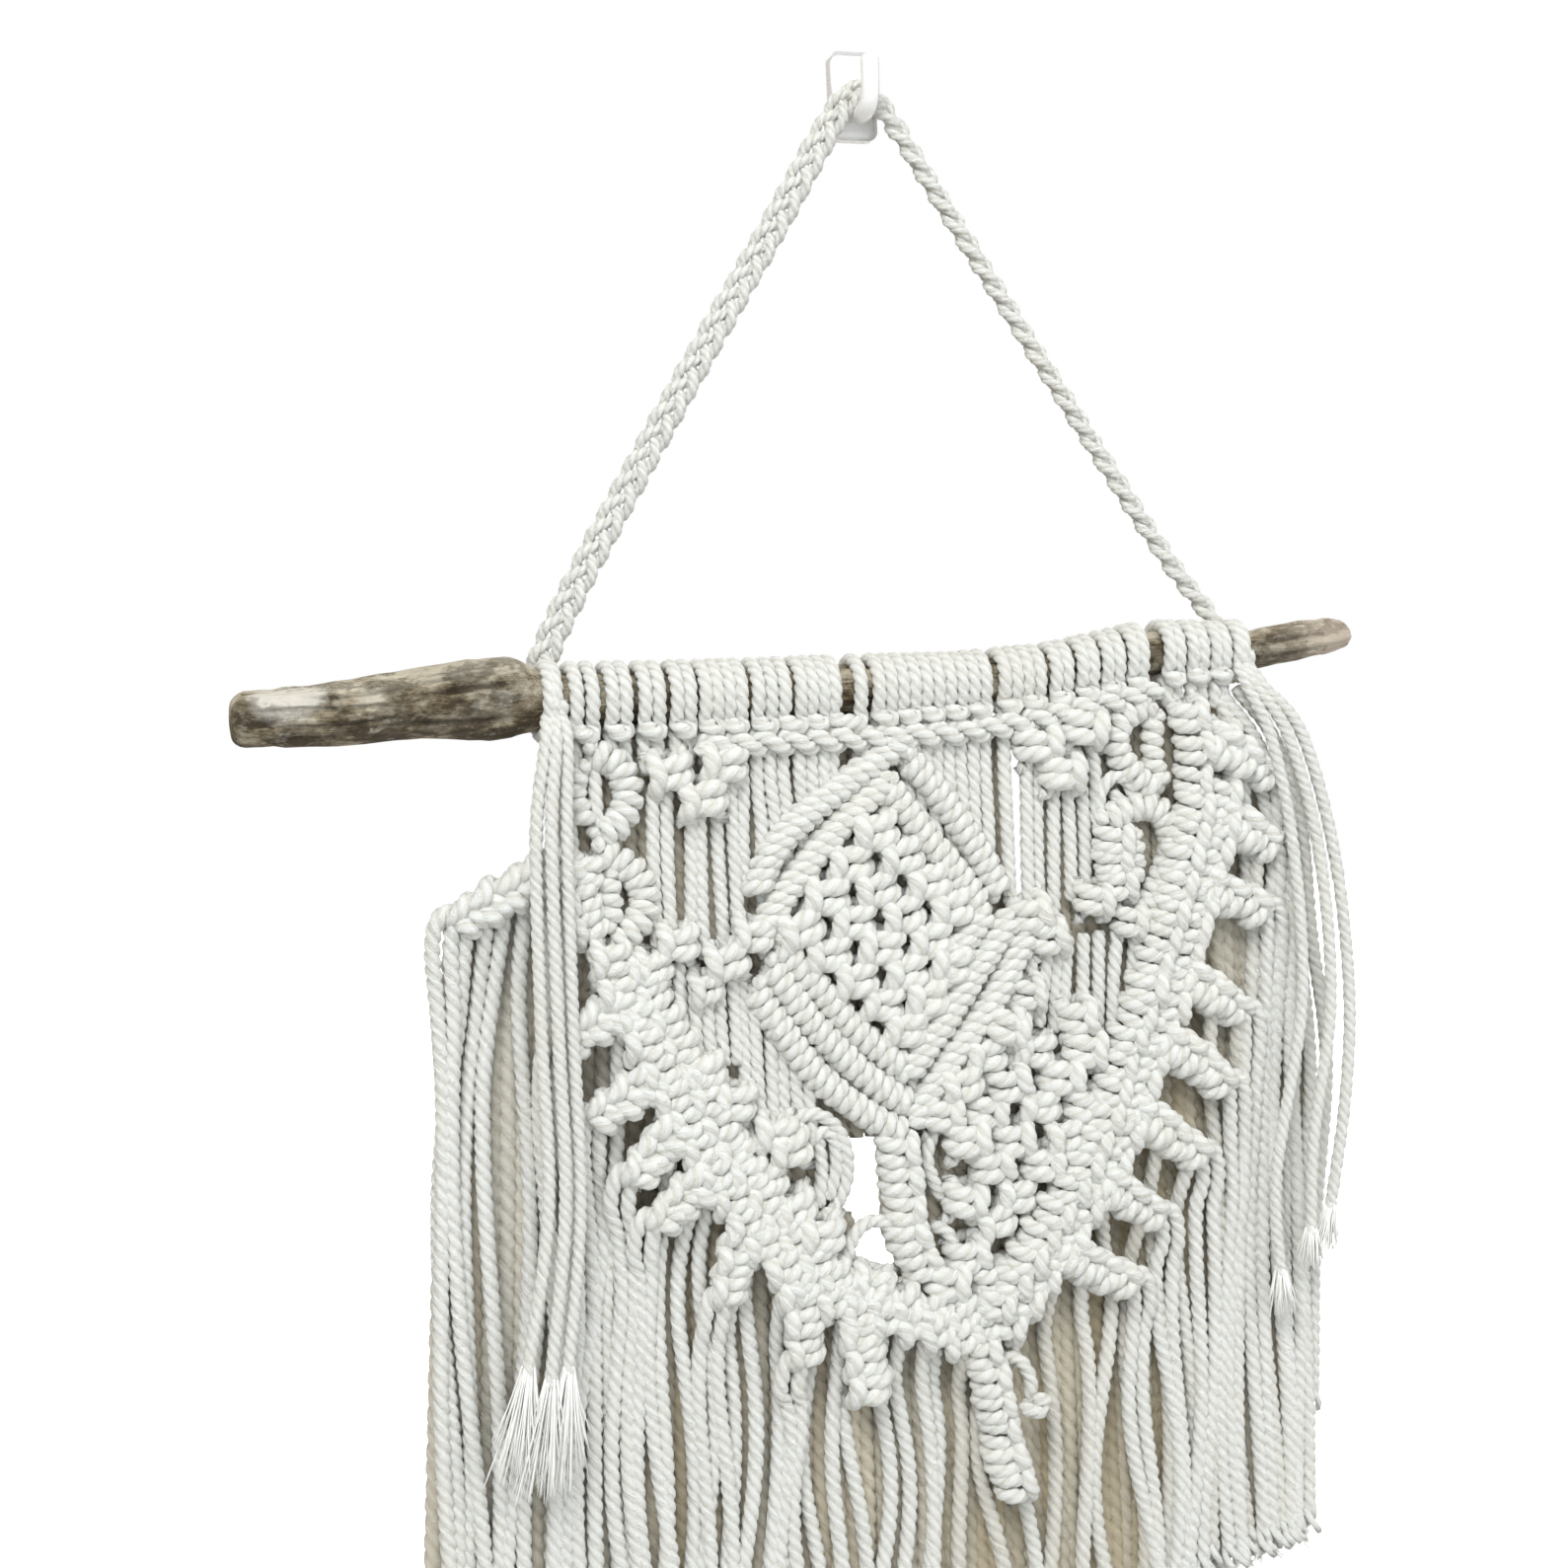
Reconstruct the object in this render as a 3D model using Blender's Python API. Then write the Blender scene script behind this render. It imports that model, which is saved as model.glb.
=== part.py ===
"""Macrame wall hanging on a driftwood branch, held by a small wall hook.

Sizes in the tables are millimetres, seen from the front: x runs to the right, z upwards and y
back towards the wall. They are measured from the middle of the branch. The finished part's
origin is the middle of the hook's flat back, where it meets the wall.
"""
import math

import bmesh
import bpy
import numpy as np
from mathutils import Vector

MM = 0.001
CORD = 4.0
GAP = 0.35
WALL_Y = 20.0
HOOK_X = 2.0
HOOK_Z = 172.0
BRANCH_Y = 5.0
BRANCH_SIDES = 12
WRAP = 3.4
HEADS = 26
HEADING_LEFT = -96.0
HEADING_RIGHT = 107.0
LOOP_WIDTH = 7.2
BRAID_PITCH = 11.0
TRIM_SIDE_Z = -258.0
TRIM_MIDDLE_Z = -296.0
FRINGE_Y = 5.7
STRIP_THICK = 2.4
FLAT_ANGLE = math.radians(0.6)

# Branch: x, height of its middle, radius.
BRANCH = (
    (-186.0, -5.0, 5.5),
    (-183.0, -4.8, 7.8),
    (-172.0, -4.4, 8.3),
    (-158.0, -4.0, 8.4),
    (-142.0, -2.6, 8.8),
    (-128.0, -1.4, 10.0),
    (-116.0, -0.6, 11.2),
    (-108.0, -1.0, 10.4),
    (-103.0, -2.4, 7.6),
    (-97.0, -2.9, 7.2),
    (-70.0, -2.9, 6.9),
    (-40.0, -2.6, 6.7),
    (-12.0, -2.2, 6.6),
    (20.0, -1.6, 5.9),
    (48.0, 0.4, 5.6),
    (68.0, 3.6, 5.9),
    (82.0, 6.4, 6.3),
    (94.0, 6.2, 5.7),
    (108.0, 5.7, 5.4),
    (114.0, 6.0, 5.6),
    (126.0, 7.8, 6.3),
    (142.0, 9.7, 6.0),
    (148.0, 10.2, 5.0),
    (151.0, 10.4, 3.0),
)

# Hitched bars of the diamond, each a row of ridges on a holding cord: its points as x, z.
DIAMOND_BARS = {
    "top_left_outer": ((-2, -23), (-20, -32), (-36, -44), (-44, -56)),
    "top_left_inner": ((-4, -33), (-20, -44), (-34, -56), (-43, -67)),
    "top_right_outer": ((1, -23), (12, -32), (22, -46), (31, -62)),
    "top_right_inner": ((-2, -33), (6, -43), (16, -54), (27, -66)),
    "low_left_inner": ((-42, -69), (-30, -80), (-15, -94), (-2, -106)),
    "low_left_middle": ((-45, -78), (-33, -90), (-18, -105), (-2, -118)),
    "low_left_outer": ((-46, -88), (-36, -99), (-22, -114), (-3, -129)),
    "low_right_inner": ((32, -68), (20, -81), (10, -92), (-1, -105)),
    "low_right_middle": ((37, -76), (25, -88), (13, -102), (0, -117)),
    "low_right_outer": ((41, -86), (28, -99), (15, -114), (0, -129)),
}
BAR_WIDTH = 9.8
BAR_DEPTH = 9.0
BAR_PITCH = 8.2

# Chains of square knots: points as x, z, then width.
KNOT_CHAINS = {
    "right_band": (
        ((92, -8), (97, -24), (94, -42), (90, -60), (84, -78), (77, -96), (69, -113),
         (61, -130), (52, -146), (42, -161), (31, -176), (20, -191)), 15.0),
    "left_band": (
        ((-90, -66), (-84, -80), (-76, -93), (-71, -107), (-66, -121), (-58, -136),
         (-49, -150), (-39, -163), (-26, -174), (-8, -182), (8, -188), (20, -193)), 15.0),
    "right_cluster": (((41, -21), (52, -25), (64, -20)), 15.0),
    "right_knots": (((50, -71), (60, -67), (70, -72)), 10.0),
    "left_cluster": (((-74, -25), (-62, -29), (-48, -24)), 12.0),
    "left_knots": (((-74, -72), (-62, -75), (-49, -74)), 9.0),
    "right_leaf_upper": (((74, -10), (73, -24), (77, -39)), 19.0),
    "right_leaf_lower": (((76, -41), (74, -55), (78, -71)), 22.0),
    "left_leaf_upper": (((-87, -18), (-87, -31), (-86, -44)), 17.0),
    "left_leaf_lower": (((-88, -46), (-88, -58), (-88, -71)), 21.0),
    "left_far": (((-91, -49), (-106, -57), (-122, -68)), 11.0),
    "right_branch_1": (((94, -38), (106, -47), (118, -56)), 11.0),
    "right_branch_2": (((90, -61), (102, -69), (114, -77)), 11.0),
    "right_branch_3": (((82, -89), (94, -97), (105, -107)), 10.0),
    "right_branch_4": (((72, -110), (86, -118), (100, -127)), 11.0),
    "right_branch_5": (((63, -131), (75, -136), (88, -142)), 9.0),
    "right_branch_6": (((52, -147), (63, -155), (74, -163)), 10.0),
    "right_branch_7": (((40, -164), (52, -173), (63, -181)), 10.0),
    "left_branch_1": (((-80, -89), (-90, -93), (-99, -97)), 9.0),
    "left_branch_2": (((-73, -108), (-84, -113), (-95, -118)), 10.0),
    "left_branch_3": (((-67, -122), (-76, -130), (-80, -140)), 8.0),
    "left_branch_4": (((-58, -138), (-68, -144), (-77, -151)), 9.0),
    "left_branch_5": (((-47, -153), (-54, -162), (-61, -172)), 10.0),
    "left_branch_6": (((-36, -167), (-42, -178), (-48, -188)), 10.0),
    "left_branch_7": (((-20, -178), (-21, -189), (-20, -200)), 10.0),
    "centre_sinnet": (((-4, -128), (-5, -142), (-4, -158), (0, -172), (2, -182)), 12.0),
    "point_sinnet": (((20, -190), (21, -206), (24, -222), (26, -236)), 12.0),
    "right_inner_link": (((38, -68), (46, -76), (44, -92), (44, -106)), 9.0),
}
CHAIN_DEPTH = 9.0
CHAIN_PITCH = 9.4

# Nets of square knots: rows from the top down as z, left x, right x.
NETS = {
    "diamond_net": (
        (-34, -5, 1), (-42, -13, 6), (-50, -22, 13), (-58, -31, 20), (-67, -38, 27),
        (-76, -31, 22), (-85, -22, 14), (-93, -13, 8), (-101, -5, 2)),
    "left_net": (
        (-112, -66, -36), (-121, -63, -33), (-130, -58, -25), (-140, -51, -22),
        (-150, -45, -22), (-160, -38, -20), (-170, -29, 0)),
    "right_net": (
        (-102, 38, 70), (-111, 21, 67), (-120, 13, 62), (-129, 8, 57), (-138, 8, 53),
        (-148, 9, 47), (-158, 8, 41), (-168, 4, 33), (-176, 3, 27)),
}
NET_THICK = 6.4
NET_BUMP = 1.9
NET_COLUMN = 9.0

# Plain strands that show between knots: count, then left and right x and their z above and below.
STRAND_ROWS = {
    "right_window": (6, (40, -24), (62, -24), (40, -74), (60, -68)),
    "right_to_bar": (5, (14, -14.5), (33, -13), (15, -36), (32, -66)),
    "right_fan": (5, (48, -67), (70, -68), (47, -106), (71, -100)),
    "right_under_bar": (4, (20, -104), (41, -86), (19, -122), (41, -108)),
    "left_window": (7, (-73, -27), (-49.3, -26), (-73, -73), (-49.3, -74)),
    "left_to_bar": (6, (-44, -16.2), (-20.4, -16), (-44, -58), (-20.4, -32)),
    "left_fan": (5, (-67, -74), (-48, -78), (-64, -112), (-44, -106)),
    "left_under_bar": (4, (-45, -88), (-30, -106), (-46, -122), (-29, -130)),
    "heading_left": (6, (-92, -16.8), (-68, -16.6), (-90, -28), (-68, -30)),
    "heading_right": (9, (38, -12.6), (98, -6.4), (38, -26), (98, -18)),
}
STRAND_Y = -0.6

# Fringe strips: the line of strand roots as x, z from left to right, the number of strands, and
# how far the outermost strands have swung outwards at their trimmed ends.
FRINGES = {
    "fringe_left": {
        "roots": ((-127, -72), (-113, -78), (-97, -99), (-87, -117), (-77, -141), (-69, -156),
                  (-57, -172), (-45, -187), (-22, -197), (4, -200)),
        "strands": 26, "swing_left": -9.0, "swing_right": -3.0},
    "fringe_right": {
        "roots": ((12, -203), (32, -200), (45, -184), (62, -180), (75, -163), (89, -145),
                  (101, -128), (108, -105), (117, -79), (122, -56)),
        "strands": 26, "swing_left": -2.0, "swing_right": 5.0},
}

# Tails of the hanging braid, from the turns round the branch to their frayed ends: x, y, z.
TAILS = (
    ((-101.6, -3.6, -6), (-102, -9, -14), (-108, -9, -40), (-108, -9, -130), (-117, -9, -212)),
    ((-99.9, -3.6, -6), (-100, -9, -14), (-104, -9, -40), (-104, -9, -130), (-112, -9, -217)),
    ((-98.2, -3.6, -6), (-98, -9, -14), (-99.8, -9, -40), (-99.5, -9, -130), (-106, -9, -215)),
    ((109.2, -1.8, 4), (110, -6, -4), (117, -8, -22), (124, -8, -60), (125, -8, -130), (119, -8, -190)),
    ((110.9, -1.8, 4), (112, -6, -4), (121, -8, -21), (129, -8, -58), (130, -8, -120), (127, -8, -178)),
    ((112.6, -1.8, 4), (114, -6, -4), (125, -8, -20), (134, -8, -56), (136, -8, -110), (134, -8, -168)),
)


def place(x, y, z):
    """A point in the part's own frame, in metres."""
    return Vector((x - HOOK_X, y - WALL_Y, z - HOOK_Z)) * MM


def table_value(table, column, x):
    """A branch column read at x by straight lines between the table's rows."""
    return float(np.interp(x, [row[0] for row in table], [row[column] for row in table]))


def curve_through(points, count):
    """Evenly spaced points on a smooth curve through the given ones."""
    knots = [np.array(point, float) for point in points]
    knots = [2 * knots[0] - knots[1]] + knots + [2 * knots[-1] - knots[-2]]
    fine = []
    for before, start, end, after in zip(knots, knots[1:], knots[2:], knots[3:]):
        for t in np.linspace(0, 1, 12, endpoint=False):
            fine.append(0.5 * (2 * start + (end - before) * t
                               + (2 * before - 5 * start + 4 * end - after) * t * t
                               + (3 * start - before - 3 * end + after) * t ** 3))
    fine.append(knots[-2])
    fine = np.array(fine)
    run = np.concatenate(([0], np.cumsum(np.linalg.norm(np.diff(fine, axis=0), axis=1))))
    even = np.linspace(0, run[-1], count)
    return np.stack([np.interp(even, run, fine[:, axis]) for axis in range(fine.shape[1])], 1)


def line_length(points):
    """Length of a polyline."""
    return float(np.sum(np.linalg.norm(np.diff(np.array(points, float), axis=0), axis=1)))


def add_tube(mesh, rings):
    """Adds a closed tube through rings of points that all have the same number of corners."""
    loops = [[mesh.verts.new(place(*point)) for point in ring] for ring in rings]
    sides = len(loops[0])
    for near, far in zip(loops, loops[1:]):
        for side in range(sides):
            other = (side + 1) % sides
            mesh.faces.new((near[side], near[other], far[other], far[side]))
    mesh.faces.new(loops[0][::-1])
    mesh.faces.new(loops[-1])


def ring_across(points, index, across, depth, sides, turn=0.0):
    """Corners of a section square to a line at one of its points; points are x, y, z."""
    last = len(points) - 1
    ahead = np.array(points[min(index + 1, last)], float) - np.array(points[max(index - 1, 0)], float)
    ahead /= np.linalg.norm(ahead)
    side_way = np.cross(ahead, (0.0, 1.0, 0.0))
    side_way /= np.linalg.norm(side_way)
    back_way = np.cross(side_way, ahead)
    corners = []
    for corner in range(sides):
        angle = 2 * math.pi * corner / sides + turn
        corners.append(np.array(points[index], float)
                       + side_way * math.cos(angle) * across / 2
                       + back_way * math.sin(angle) * depth / 2)
    return corners


def add_ridged_bar(mesh, line, width, depth, pitch, y=0.0, sides=5):
    """Adds a bar of ridges, one each pitch, along a line of x, z points."""
    ridges = max(2, round(line_length(line) / pitch))
    centres = [(x, y, z) for x, z in curve_through(line, 2 * ridges + 1)]
    rings = []
    for index in range(len(centres)):
        size = 1.0 if index % 2 else 0.76
        if index in (0, len(centres) - 1):
            size = 0.62
        rings.append(ring_across(centres, index, width * size, depth * size, sides, math.pi / 7))
    add_tube(mesh, rings)


def add_strand(mesh, points, thick=CORD, flare=1.0):
    """Adds a four-sided strand along points x, y, z, its last end widened by the flare."""
    sizes = [thick] * (len(points) - 1) + [thick * flare]
    add_tube(mesh, [ring_across(points, index, size, size, 4) for index, size in enumerate(sizes)])


def add_net(mesh, rows):
    """Adds a knotted cloth, one bump for each square knot, between a left and a right edge."""
    widest = max(right - left for _, left, right in rows)
    columns = max(3, round(widest / NET_COLUMN) + 1)
    front = []
    back = []
    for number, (z, left, right) in enumerate(rows):
        front_row = []
        back_row = []
        for column in range(columns):
            x = left + (right - left) * column / (columns - 1)
            bump = NET_BUMP if (number + column) % 2 else -NET_BUMP
            edge = column in (0, columns - 1) or number in (0, len(rows) - 1)
            half = NET_THICK / 2 - 1.0 if edge else NET_THICK / 2 + bump
            front_row.append(mesh.verts.new(place(x, -half, z)))
            back_row.append(mesh.verts.new(place(x, half, z)))
        front.append(front_row)
        back.append(back_row)
    for row in range(len(rows) - 1):
        for column in range(columns - 1):
            mesh.faces.new((front[row][column], front[row + 1][column],
                            front[row + 1][column + 1], front[row][column + 1]))
            mesh.faces.new((back[row][column], back[row][column + 1],
                            back[row + 1][column + 1], back[row + 1][column]))
        mesh.faces.new((front[row][0], back[row][0], back[row + 1][0], front[row + 1][0]))
        mesh.faces.new((front[row][-1], front[row + 1][-1], back[row + 1][-1], back[row][-1]))
    for column in range(columns - 1):
        mesh.faces.new((front[0][column], front[0][column + 1], back[0][column + 1], back[0][column]))
        mesh.faces.new((front[-1][column], back[-1][column], back[-1][column + 1],
                        front[-1][column + 1]))


def material(name, colour, roughness, metallic=0.0):
    """A plain finish for one sub-part."""
    finish = bpy.data.materials.new(name)
    finish.use_nodes = True
    shader = finish.node_tree.nodes["Principled BSDF"]
    shader.inputs["Base Color"].default_value = (*colour, 1.0)
    shader.inputs["Roughness"].default_value = roughness
    shader.inputs["Metallic"].default_value = metallic
    return finish


def finish_object(name, mesh, finish):
    """Turns a bmesh into a named object of the scene."""
    bmesh.ops.recalc_face_normals(mesh, faces=mesh.faces)
    bmesh.ops.triangulate(mesh, faces=mesh.faces)
    data = bpy.data.meshes.new(name)
    mesh.to_mesh(data)
    mesh.free()
    data.shade_smooth()
    data.set_sharp_from_angle(angle=math.radians(50))
    body = bpy.data.objects.new(name, data)
    bpy.context.scene.collection.objects.link(body)
    if finish:
        data.materials.append(finish)
    return body


def union_with(body, mesh, name):
    """Fuses every shape of a bmesh into the body with one Boolean."""
    guide = finish_object(name, mesh, None)
    guide.hide_render = True
    guide.display_type = 'WIRE'
    join = body.modifiers.new("fused", 'BOOLEAN')
    join.operation = 'UNION'
    join.solver = 'EXACT'
    join.use_self = True
    join.object = guide
    flat = body.modifiers.new("flat_faces_joined", 'DECIMATE')
    flat.decimate_type = 'DISSOLVE'
    flat.angle_limit = FLAT_ANGLE


def branch_ring(x, height, radius, extra=0.0):
    """A knobbly round section of the branch, or of what is wrapped round it."""
    ring = []
    for side in range(BRANCH_SIDES):
        angle = 2 * math.pi * side / BRANCH_SIDES
        knob = 1.0 + 0.05 * math.sin(2 * angle + 0.06 * x) + 0.03 * math.sin(3 * angle - 0.11 * x)
        reach = radius * knob + extra
        ring.append((x, BRANCH_Y - reach * math.cos(angle), height + reach * math.sin(angle)))
    return ring


def make_branch(finish):
    """The driftwood stick, thick and knobbly at the left, thin and round at the right."""
    mesh = bmesh.new()
    add_tube(mesh, [branch_ring(x, height, radius) for x, height, radius in BRANCH])
    return finish_object("driftwood_branch", mesh, finish)


def add_sleeve(mesh, left, right, ridges, bight):
    """Adds turns of cord round the branch, open at both ends, with a loop row below in front."""
    stations = [left] + [row[0] for row in BRANCH if left < row[0] < right] + [right]
    inner = []
    for x in stations:
        ring = branch_ring(x, table_value(BRANCH, 1, x), table_value(BRANCH, 2, x), GAP)
        inner.append([mesh.verts.new(place(*point)) for point in ring])
    outer = []
    for index in range(2 * ridges + 1):
        x = left + (right - left) * index / (2 * ridges)
        thick = WRAP if index % 2 else WRAP - 1.3
        ring = branch_ring(x, table_value(BRANCH, 1, x), table_value(BRANCH, 2, x), GAP + thick)
        if bight:
            for side in (BRANCH_SIDES - 2, BRANCH_SIDES - 1):
                corner = ring[side]
                ring[side] = (corner[0], corner[1] - 1.6, corner[2] - 1.2)
        outer.append([mesh.verts.new(place(*point)) for point in ring])
    for loops in (inner, outer):
        for near, far in zip(loops, loops[1:]):
            for side in range(BRANCH_SIDES):
                other = (side + 1) % BRANCH_SIDES
                mesh.faces.new((near[side], near[other], far[other], far[side]))
    for inside, outside in ((inner[0], outer[0]), (inner[-1], outer[-1])):
        for side in range(BRANCH_SIDES):
            other = (side + 1) % BRANCH_SIDES
            mesh.faces.new((inside[side], inside[other], outside[other], outside[side]))


def make_heading(finish):
    """The lark's head hitches round the branch, one ridge each."""
    mesh = bmesh.new()
    add_sleeve(mesh, HEADING_LEFT, HEADING_RIGHT, HEADS, True)
    return finish_object("larks_head_heading", mesh, finish)


def heading_foot(x):
    """Height of the heading's underside at x."""
    return table_value(BRANCH, 1, x) - 1.08 * table_value(BRANCH, 2, x) - GAP - WRAP - 1.2


def make_panel(finish):
    """The knotted cloth: its top bar, with every bar, chain, net and strand fused to it."""
    top_line = [(x, heading_foot(x) - 1.2) for x in np.linspace(-94.0, 105.0, 9)]
    mesh = bmesh.new()
    add_ridged_bar(mesh, top_line, 5.0, 6.4, 2 * CHAIN_PITCH, STRAND_Y)
    panel = finish_object("knotted_panel", mesh, finish)
    fused = bmesh.new()
    for line in DIAMOND_BARS.values():
        add_ridged_bar(fused, line, BAR_WIDTH, BAR_DEPTH, BAR_PITCH)
    for line, width in KNOT_CHAINS.values():
        add_ridged_bar(fused, line, width, CHAIN_DEPTH, CHAIN_PITCH)
    for rows in NETS.values():
        add_net(fused, rows)
    for count, top_left, top_right, low_left, low_right in STRAND_ROWS.values():
        for number in range(count):
            share = number / (count - 1)
            top = np.array(top_left) * (1 - share) + np.array(top_right) * share
            low = np.array(low_left) * (1 - share) + np.array(low_right) * share
            y = STRAND_Y + (0.7 if number % 2 else -0.7)
            add_strand(fused, [(top[0], y, top[1]), (low[0], y, low[1])])
    union_with(panel, fused, "panel_shapes")
    return panel


def make_fringe(name, layout, finish):
    """A narrow strip along the knots' lower edge, with the free strands that hang from it."""
    mesh = bmesh.new()
    line = layout["roots"]
    centres = [(x, FRINGE_Y, z) for x, z in line]
    add_tube(mesh, [ring_across(centres, index, 5.0, STRIP_THICK, 4, math.pi / 4)
                    for index in range(len(centres))])
    strip = finish_object(name, mesh, finish)
    strands = bmesh.new()
    count = layout["strands"]
    middle = (HEADING_LEFT + HEADING_RIGHT) / 2
    for number in range(count):
        share = (number + 0.5) / count
        x = line[0][0] + (line[-1][0] - line[0][0]) * share
        z = table_value(line, 1, x)
        end_x = x + layout["swing_left"] * (1 - share) + layout["swing_right"] * share
        out = min(1.0, abs(end_x - middle) / 130.0)
        end_z = TRIM_MIDDLE_Z + (TRIM_SIDE_Z - TRIM_MIDDLE_Z) * out + 3.0 * math.sin(5.1 * number)
        y = FRINGE_Y + (1.5 if number % 2 else 0.9)
        sway = 1.1 * math.sin(2.3 * number)
        add_strand(strands, [
            (x, y, z),
            (x + (end_x - x) * 0.3 + sway * 0.4, y, z + (end_z - z) * 0.35),
            (x + (end_x - x) * 0.7 + sway, y, z + (end_z - z) * 0.7),
            (end_x, y, end_z)], 3.2, 1.2)
    union_with(strip, strands, name + "_strands")
    return strip


def make_braid(finish):
    """The plaited strap over the hook, its turns round the branch and its frayed tails."""
    mesh = bmesh.new()
    left_foot = (HEADING_LEFT - LOOP_WIDTH / 2 - GAP, 12.0, 5.0)
    right_foot = (HEADING_RIGHT + LOOP_WIDTH / 2 + GAP, 12.0, 12.0)
    line = (left_foot, (-84, 11.5, 38), (-55, 11.5, 86), (-26, 11.5, 132), (-6, 11.5, 165),
            (HOOK_X, 11.5, 172.6), (10, 11.5, 166), (32, 11.5, 131), (62, 11.5, 84),
            (92, 11.5, 38), right_foot)
    steps = 2 * round(line_length(line) / BRAID_PITCH)
    centres = curve_through(line, steps + 1)
    rings = []
    for index in range(len(centres)):
        lean = 0.9 * math.sin(math.pi * index / 2)
        shifted = centres.copy()
        shifted[index][1] += lean
        size = 1.0 if index % 2 else 0.86
        rings.append(ring_across(shifted, index, 6.0 * size, 8.4 * size, 6))
    add_tube(mesh, rings)
    braid = finish_object("hanging_braid", mesh, finish)
    loops = bmesh.new()
    add_sleeve(loops, HEADING_LEFT - GAP - LOOP_WIDTH, HEADING_LEFT - GAP, 2, False)
    add_sleeve(loops, HEADING_RIGHT + GAP, HEADING_RIGHT + GAP + LOOP_WIDTH, 2, False)
    for route in TAILS:
        add_strand(loops, route, 3.4, 1.7)
    union_with(braid, loops, "braid_loops")
    return braid


def make_hook(finish):
    """A small wall hook: a flat plate and a round arm that curls forward and up."""
    mesh = bmesh.new()
    half_wide = 7.0
    half_tall = 13.0
    thick = 2.6
    plate = bmesh.ops.create_cube(mesh, size=1.0)["verts"]
    for vert in plate:
        x = HOOK_X + vert.co.x * 2 * half_wide
        y = WALL_Y - thick / 2 + vert.co.y * thick
        z = HOOK_Z + vert.co.z * 2 * half_tall
        vert.co = place(x, y, z)
    edges = [edge for edge in mesh.edges
             if abs(edge.verts[0].co.y - edge.verts[1].co.y) > thick * MM / 2]
    bmesh.ops.bevel(mesh, geom=edges, offset=3.0 * MM, segments=3, affect='EDGES')
    hook = finish_object("wall_hook", mesh, finish)
    arm = bmesh.new()
    route = ((WALL_Y - 1.4, 168.4), (15.5, 166.2), (11.0, 165.2), (6.4, 165.8), (3.4, 168.6),
             (2.6, 172.5), (2.4, 176.5), (2.4, 178.4))
    centres = [(HOOK_X, y, z) for y, z in curve_through(route, 14)]
    rings = []
    for index, centre in enumerate(centres):
        ahead = np.array(centres[min(index + 1, 13)]) - np.array(centres[max(index - 1, 0)])
        ahead /= np.linalg.norm(ahead)
        up = np.cross((1.0, 0.0, 0.0), ahead)
        radius = 2.7 if index < 12 else (2.2 if index == 12 else 1.2)
        rings.append([np.array(centre) + radius * (math.cos(angle) * np.array((1.0, 0.0, 0.0))
                                                   + math.sin(angle) * up)
                      for angle in np.linspace(0, 2 * math.pi, 12, endpoint=False)])
    add_tube(arm, rings)
    union_with(hook, arm, "hook_arm")
    return hook


def main():
    for old in list(bpy.data.objects):
        bpy.data.objects.remove(old)
    wood = material("driftwood", (0.33, 0.26, 0.19), 0.85)
    cotton = material("natural_cotton", (0.82, 0.81, 0.76), 0.95)
    plastic = material("white_plastic", (0.88, 0.88, 0.88), 0.35)
    make_branch(wood)
    make_hook(plastic)
    make_braid(cotton)
    make_heading(cotton)
    make_panel(cotton)
    for name, layout in FRINGES.items():
        make_fringe(name, layout, cotton)


main()
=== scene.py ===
"""Looks of the macrame wall hanging: every cord, knot, hitch and strand, the driftwood and the hook.

Sizes are millimetres seen from the front, measured from the middle of the branch: x runs to the
right, y to the back and z up. The meshes are made in metres, from the hook's flat back.
"""

import math

import bpy
import numpy as np
from mathutils import Matrix, Vector


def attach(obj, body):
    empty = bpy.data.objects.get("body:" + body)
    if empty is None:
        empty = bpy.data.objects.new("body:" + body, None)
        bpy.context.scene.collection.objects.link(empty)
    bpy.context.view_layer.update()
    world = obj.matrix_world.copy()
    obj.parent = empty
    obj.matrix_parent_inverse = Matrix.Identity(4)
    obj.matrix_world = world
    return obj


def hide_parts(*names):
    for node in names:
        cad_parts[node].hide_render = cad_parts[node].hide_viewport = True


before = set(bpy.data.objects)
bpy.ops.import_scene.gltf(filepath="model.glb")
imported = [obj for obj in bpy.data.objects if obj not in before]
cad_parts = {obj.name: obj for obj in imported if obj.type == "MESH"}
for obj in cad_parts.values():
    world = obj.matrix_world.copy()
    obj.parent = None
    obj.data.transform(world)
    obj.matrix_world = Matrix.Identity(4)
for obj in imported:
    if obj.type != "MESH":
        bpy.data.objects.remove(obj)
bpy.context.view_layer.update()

MM = 0.001
HOOK_BACK = np.array((2.0, 20.0, 172.0))
rng = np.random.default_rng(11)

# Which way is outward on each side of the hanging.
OUTWARD = {"left": -1.0, "right": 1.0}

# Cord: three plies laid up, with the ridges running down to the right. Its thickness, the length
# of one turn of the plies, the distance of its rings, its section when it is slack or tight, and
# how much thinner its ends are.
CORD = 4.3
LAY = 10.0
RING_STEP = 1.25
PLY_SECTION = (0.75, 0.985, 0.985) * 3
TIGHT_SECTION = (0.85, 0.99, 0.99) * 3
END_TAPER = 0.72

# Tone of a cord: 0 to 1 is plain cotton, 1 to 2 has shade painted on its front side, -1 is loose fibre.
# The far strands below the cloth, those beside it, and the cords behind it each have their own.
LOOSE_TONE = -1.0
FAR_TONE = 1.72
SIDE_TONE = 1.55
BACK_TONE = 1.62

# Branch: how far back its middle lies. Wraps: how far outside the wood the cord's middle runs, and
# how plump the bight is.
BRANCH_Y = 5.0
WRAP_REACH = 2.1
BIGHT_PLUMP = 1.22

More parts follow.
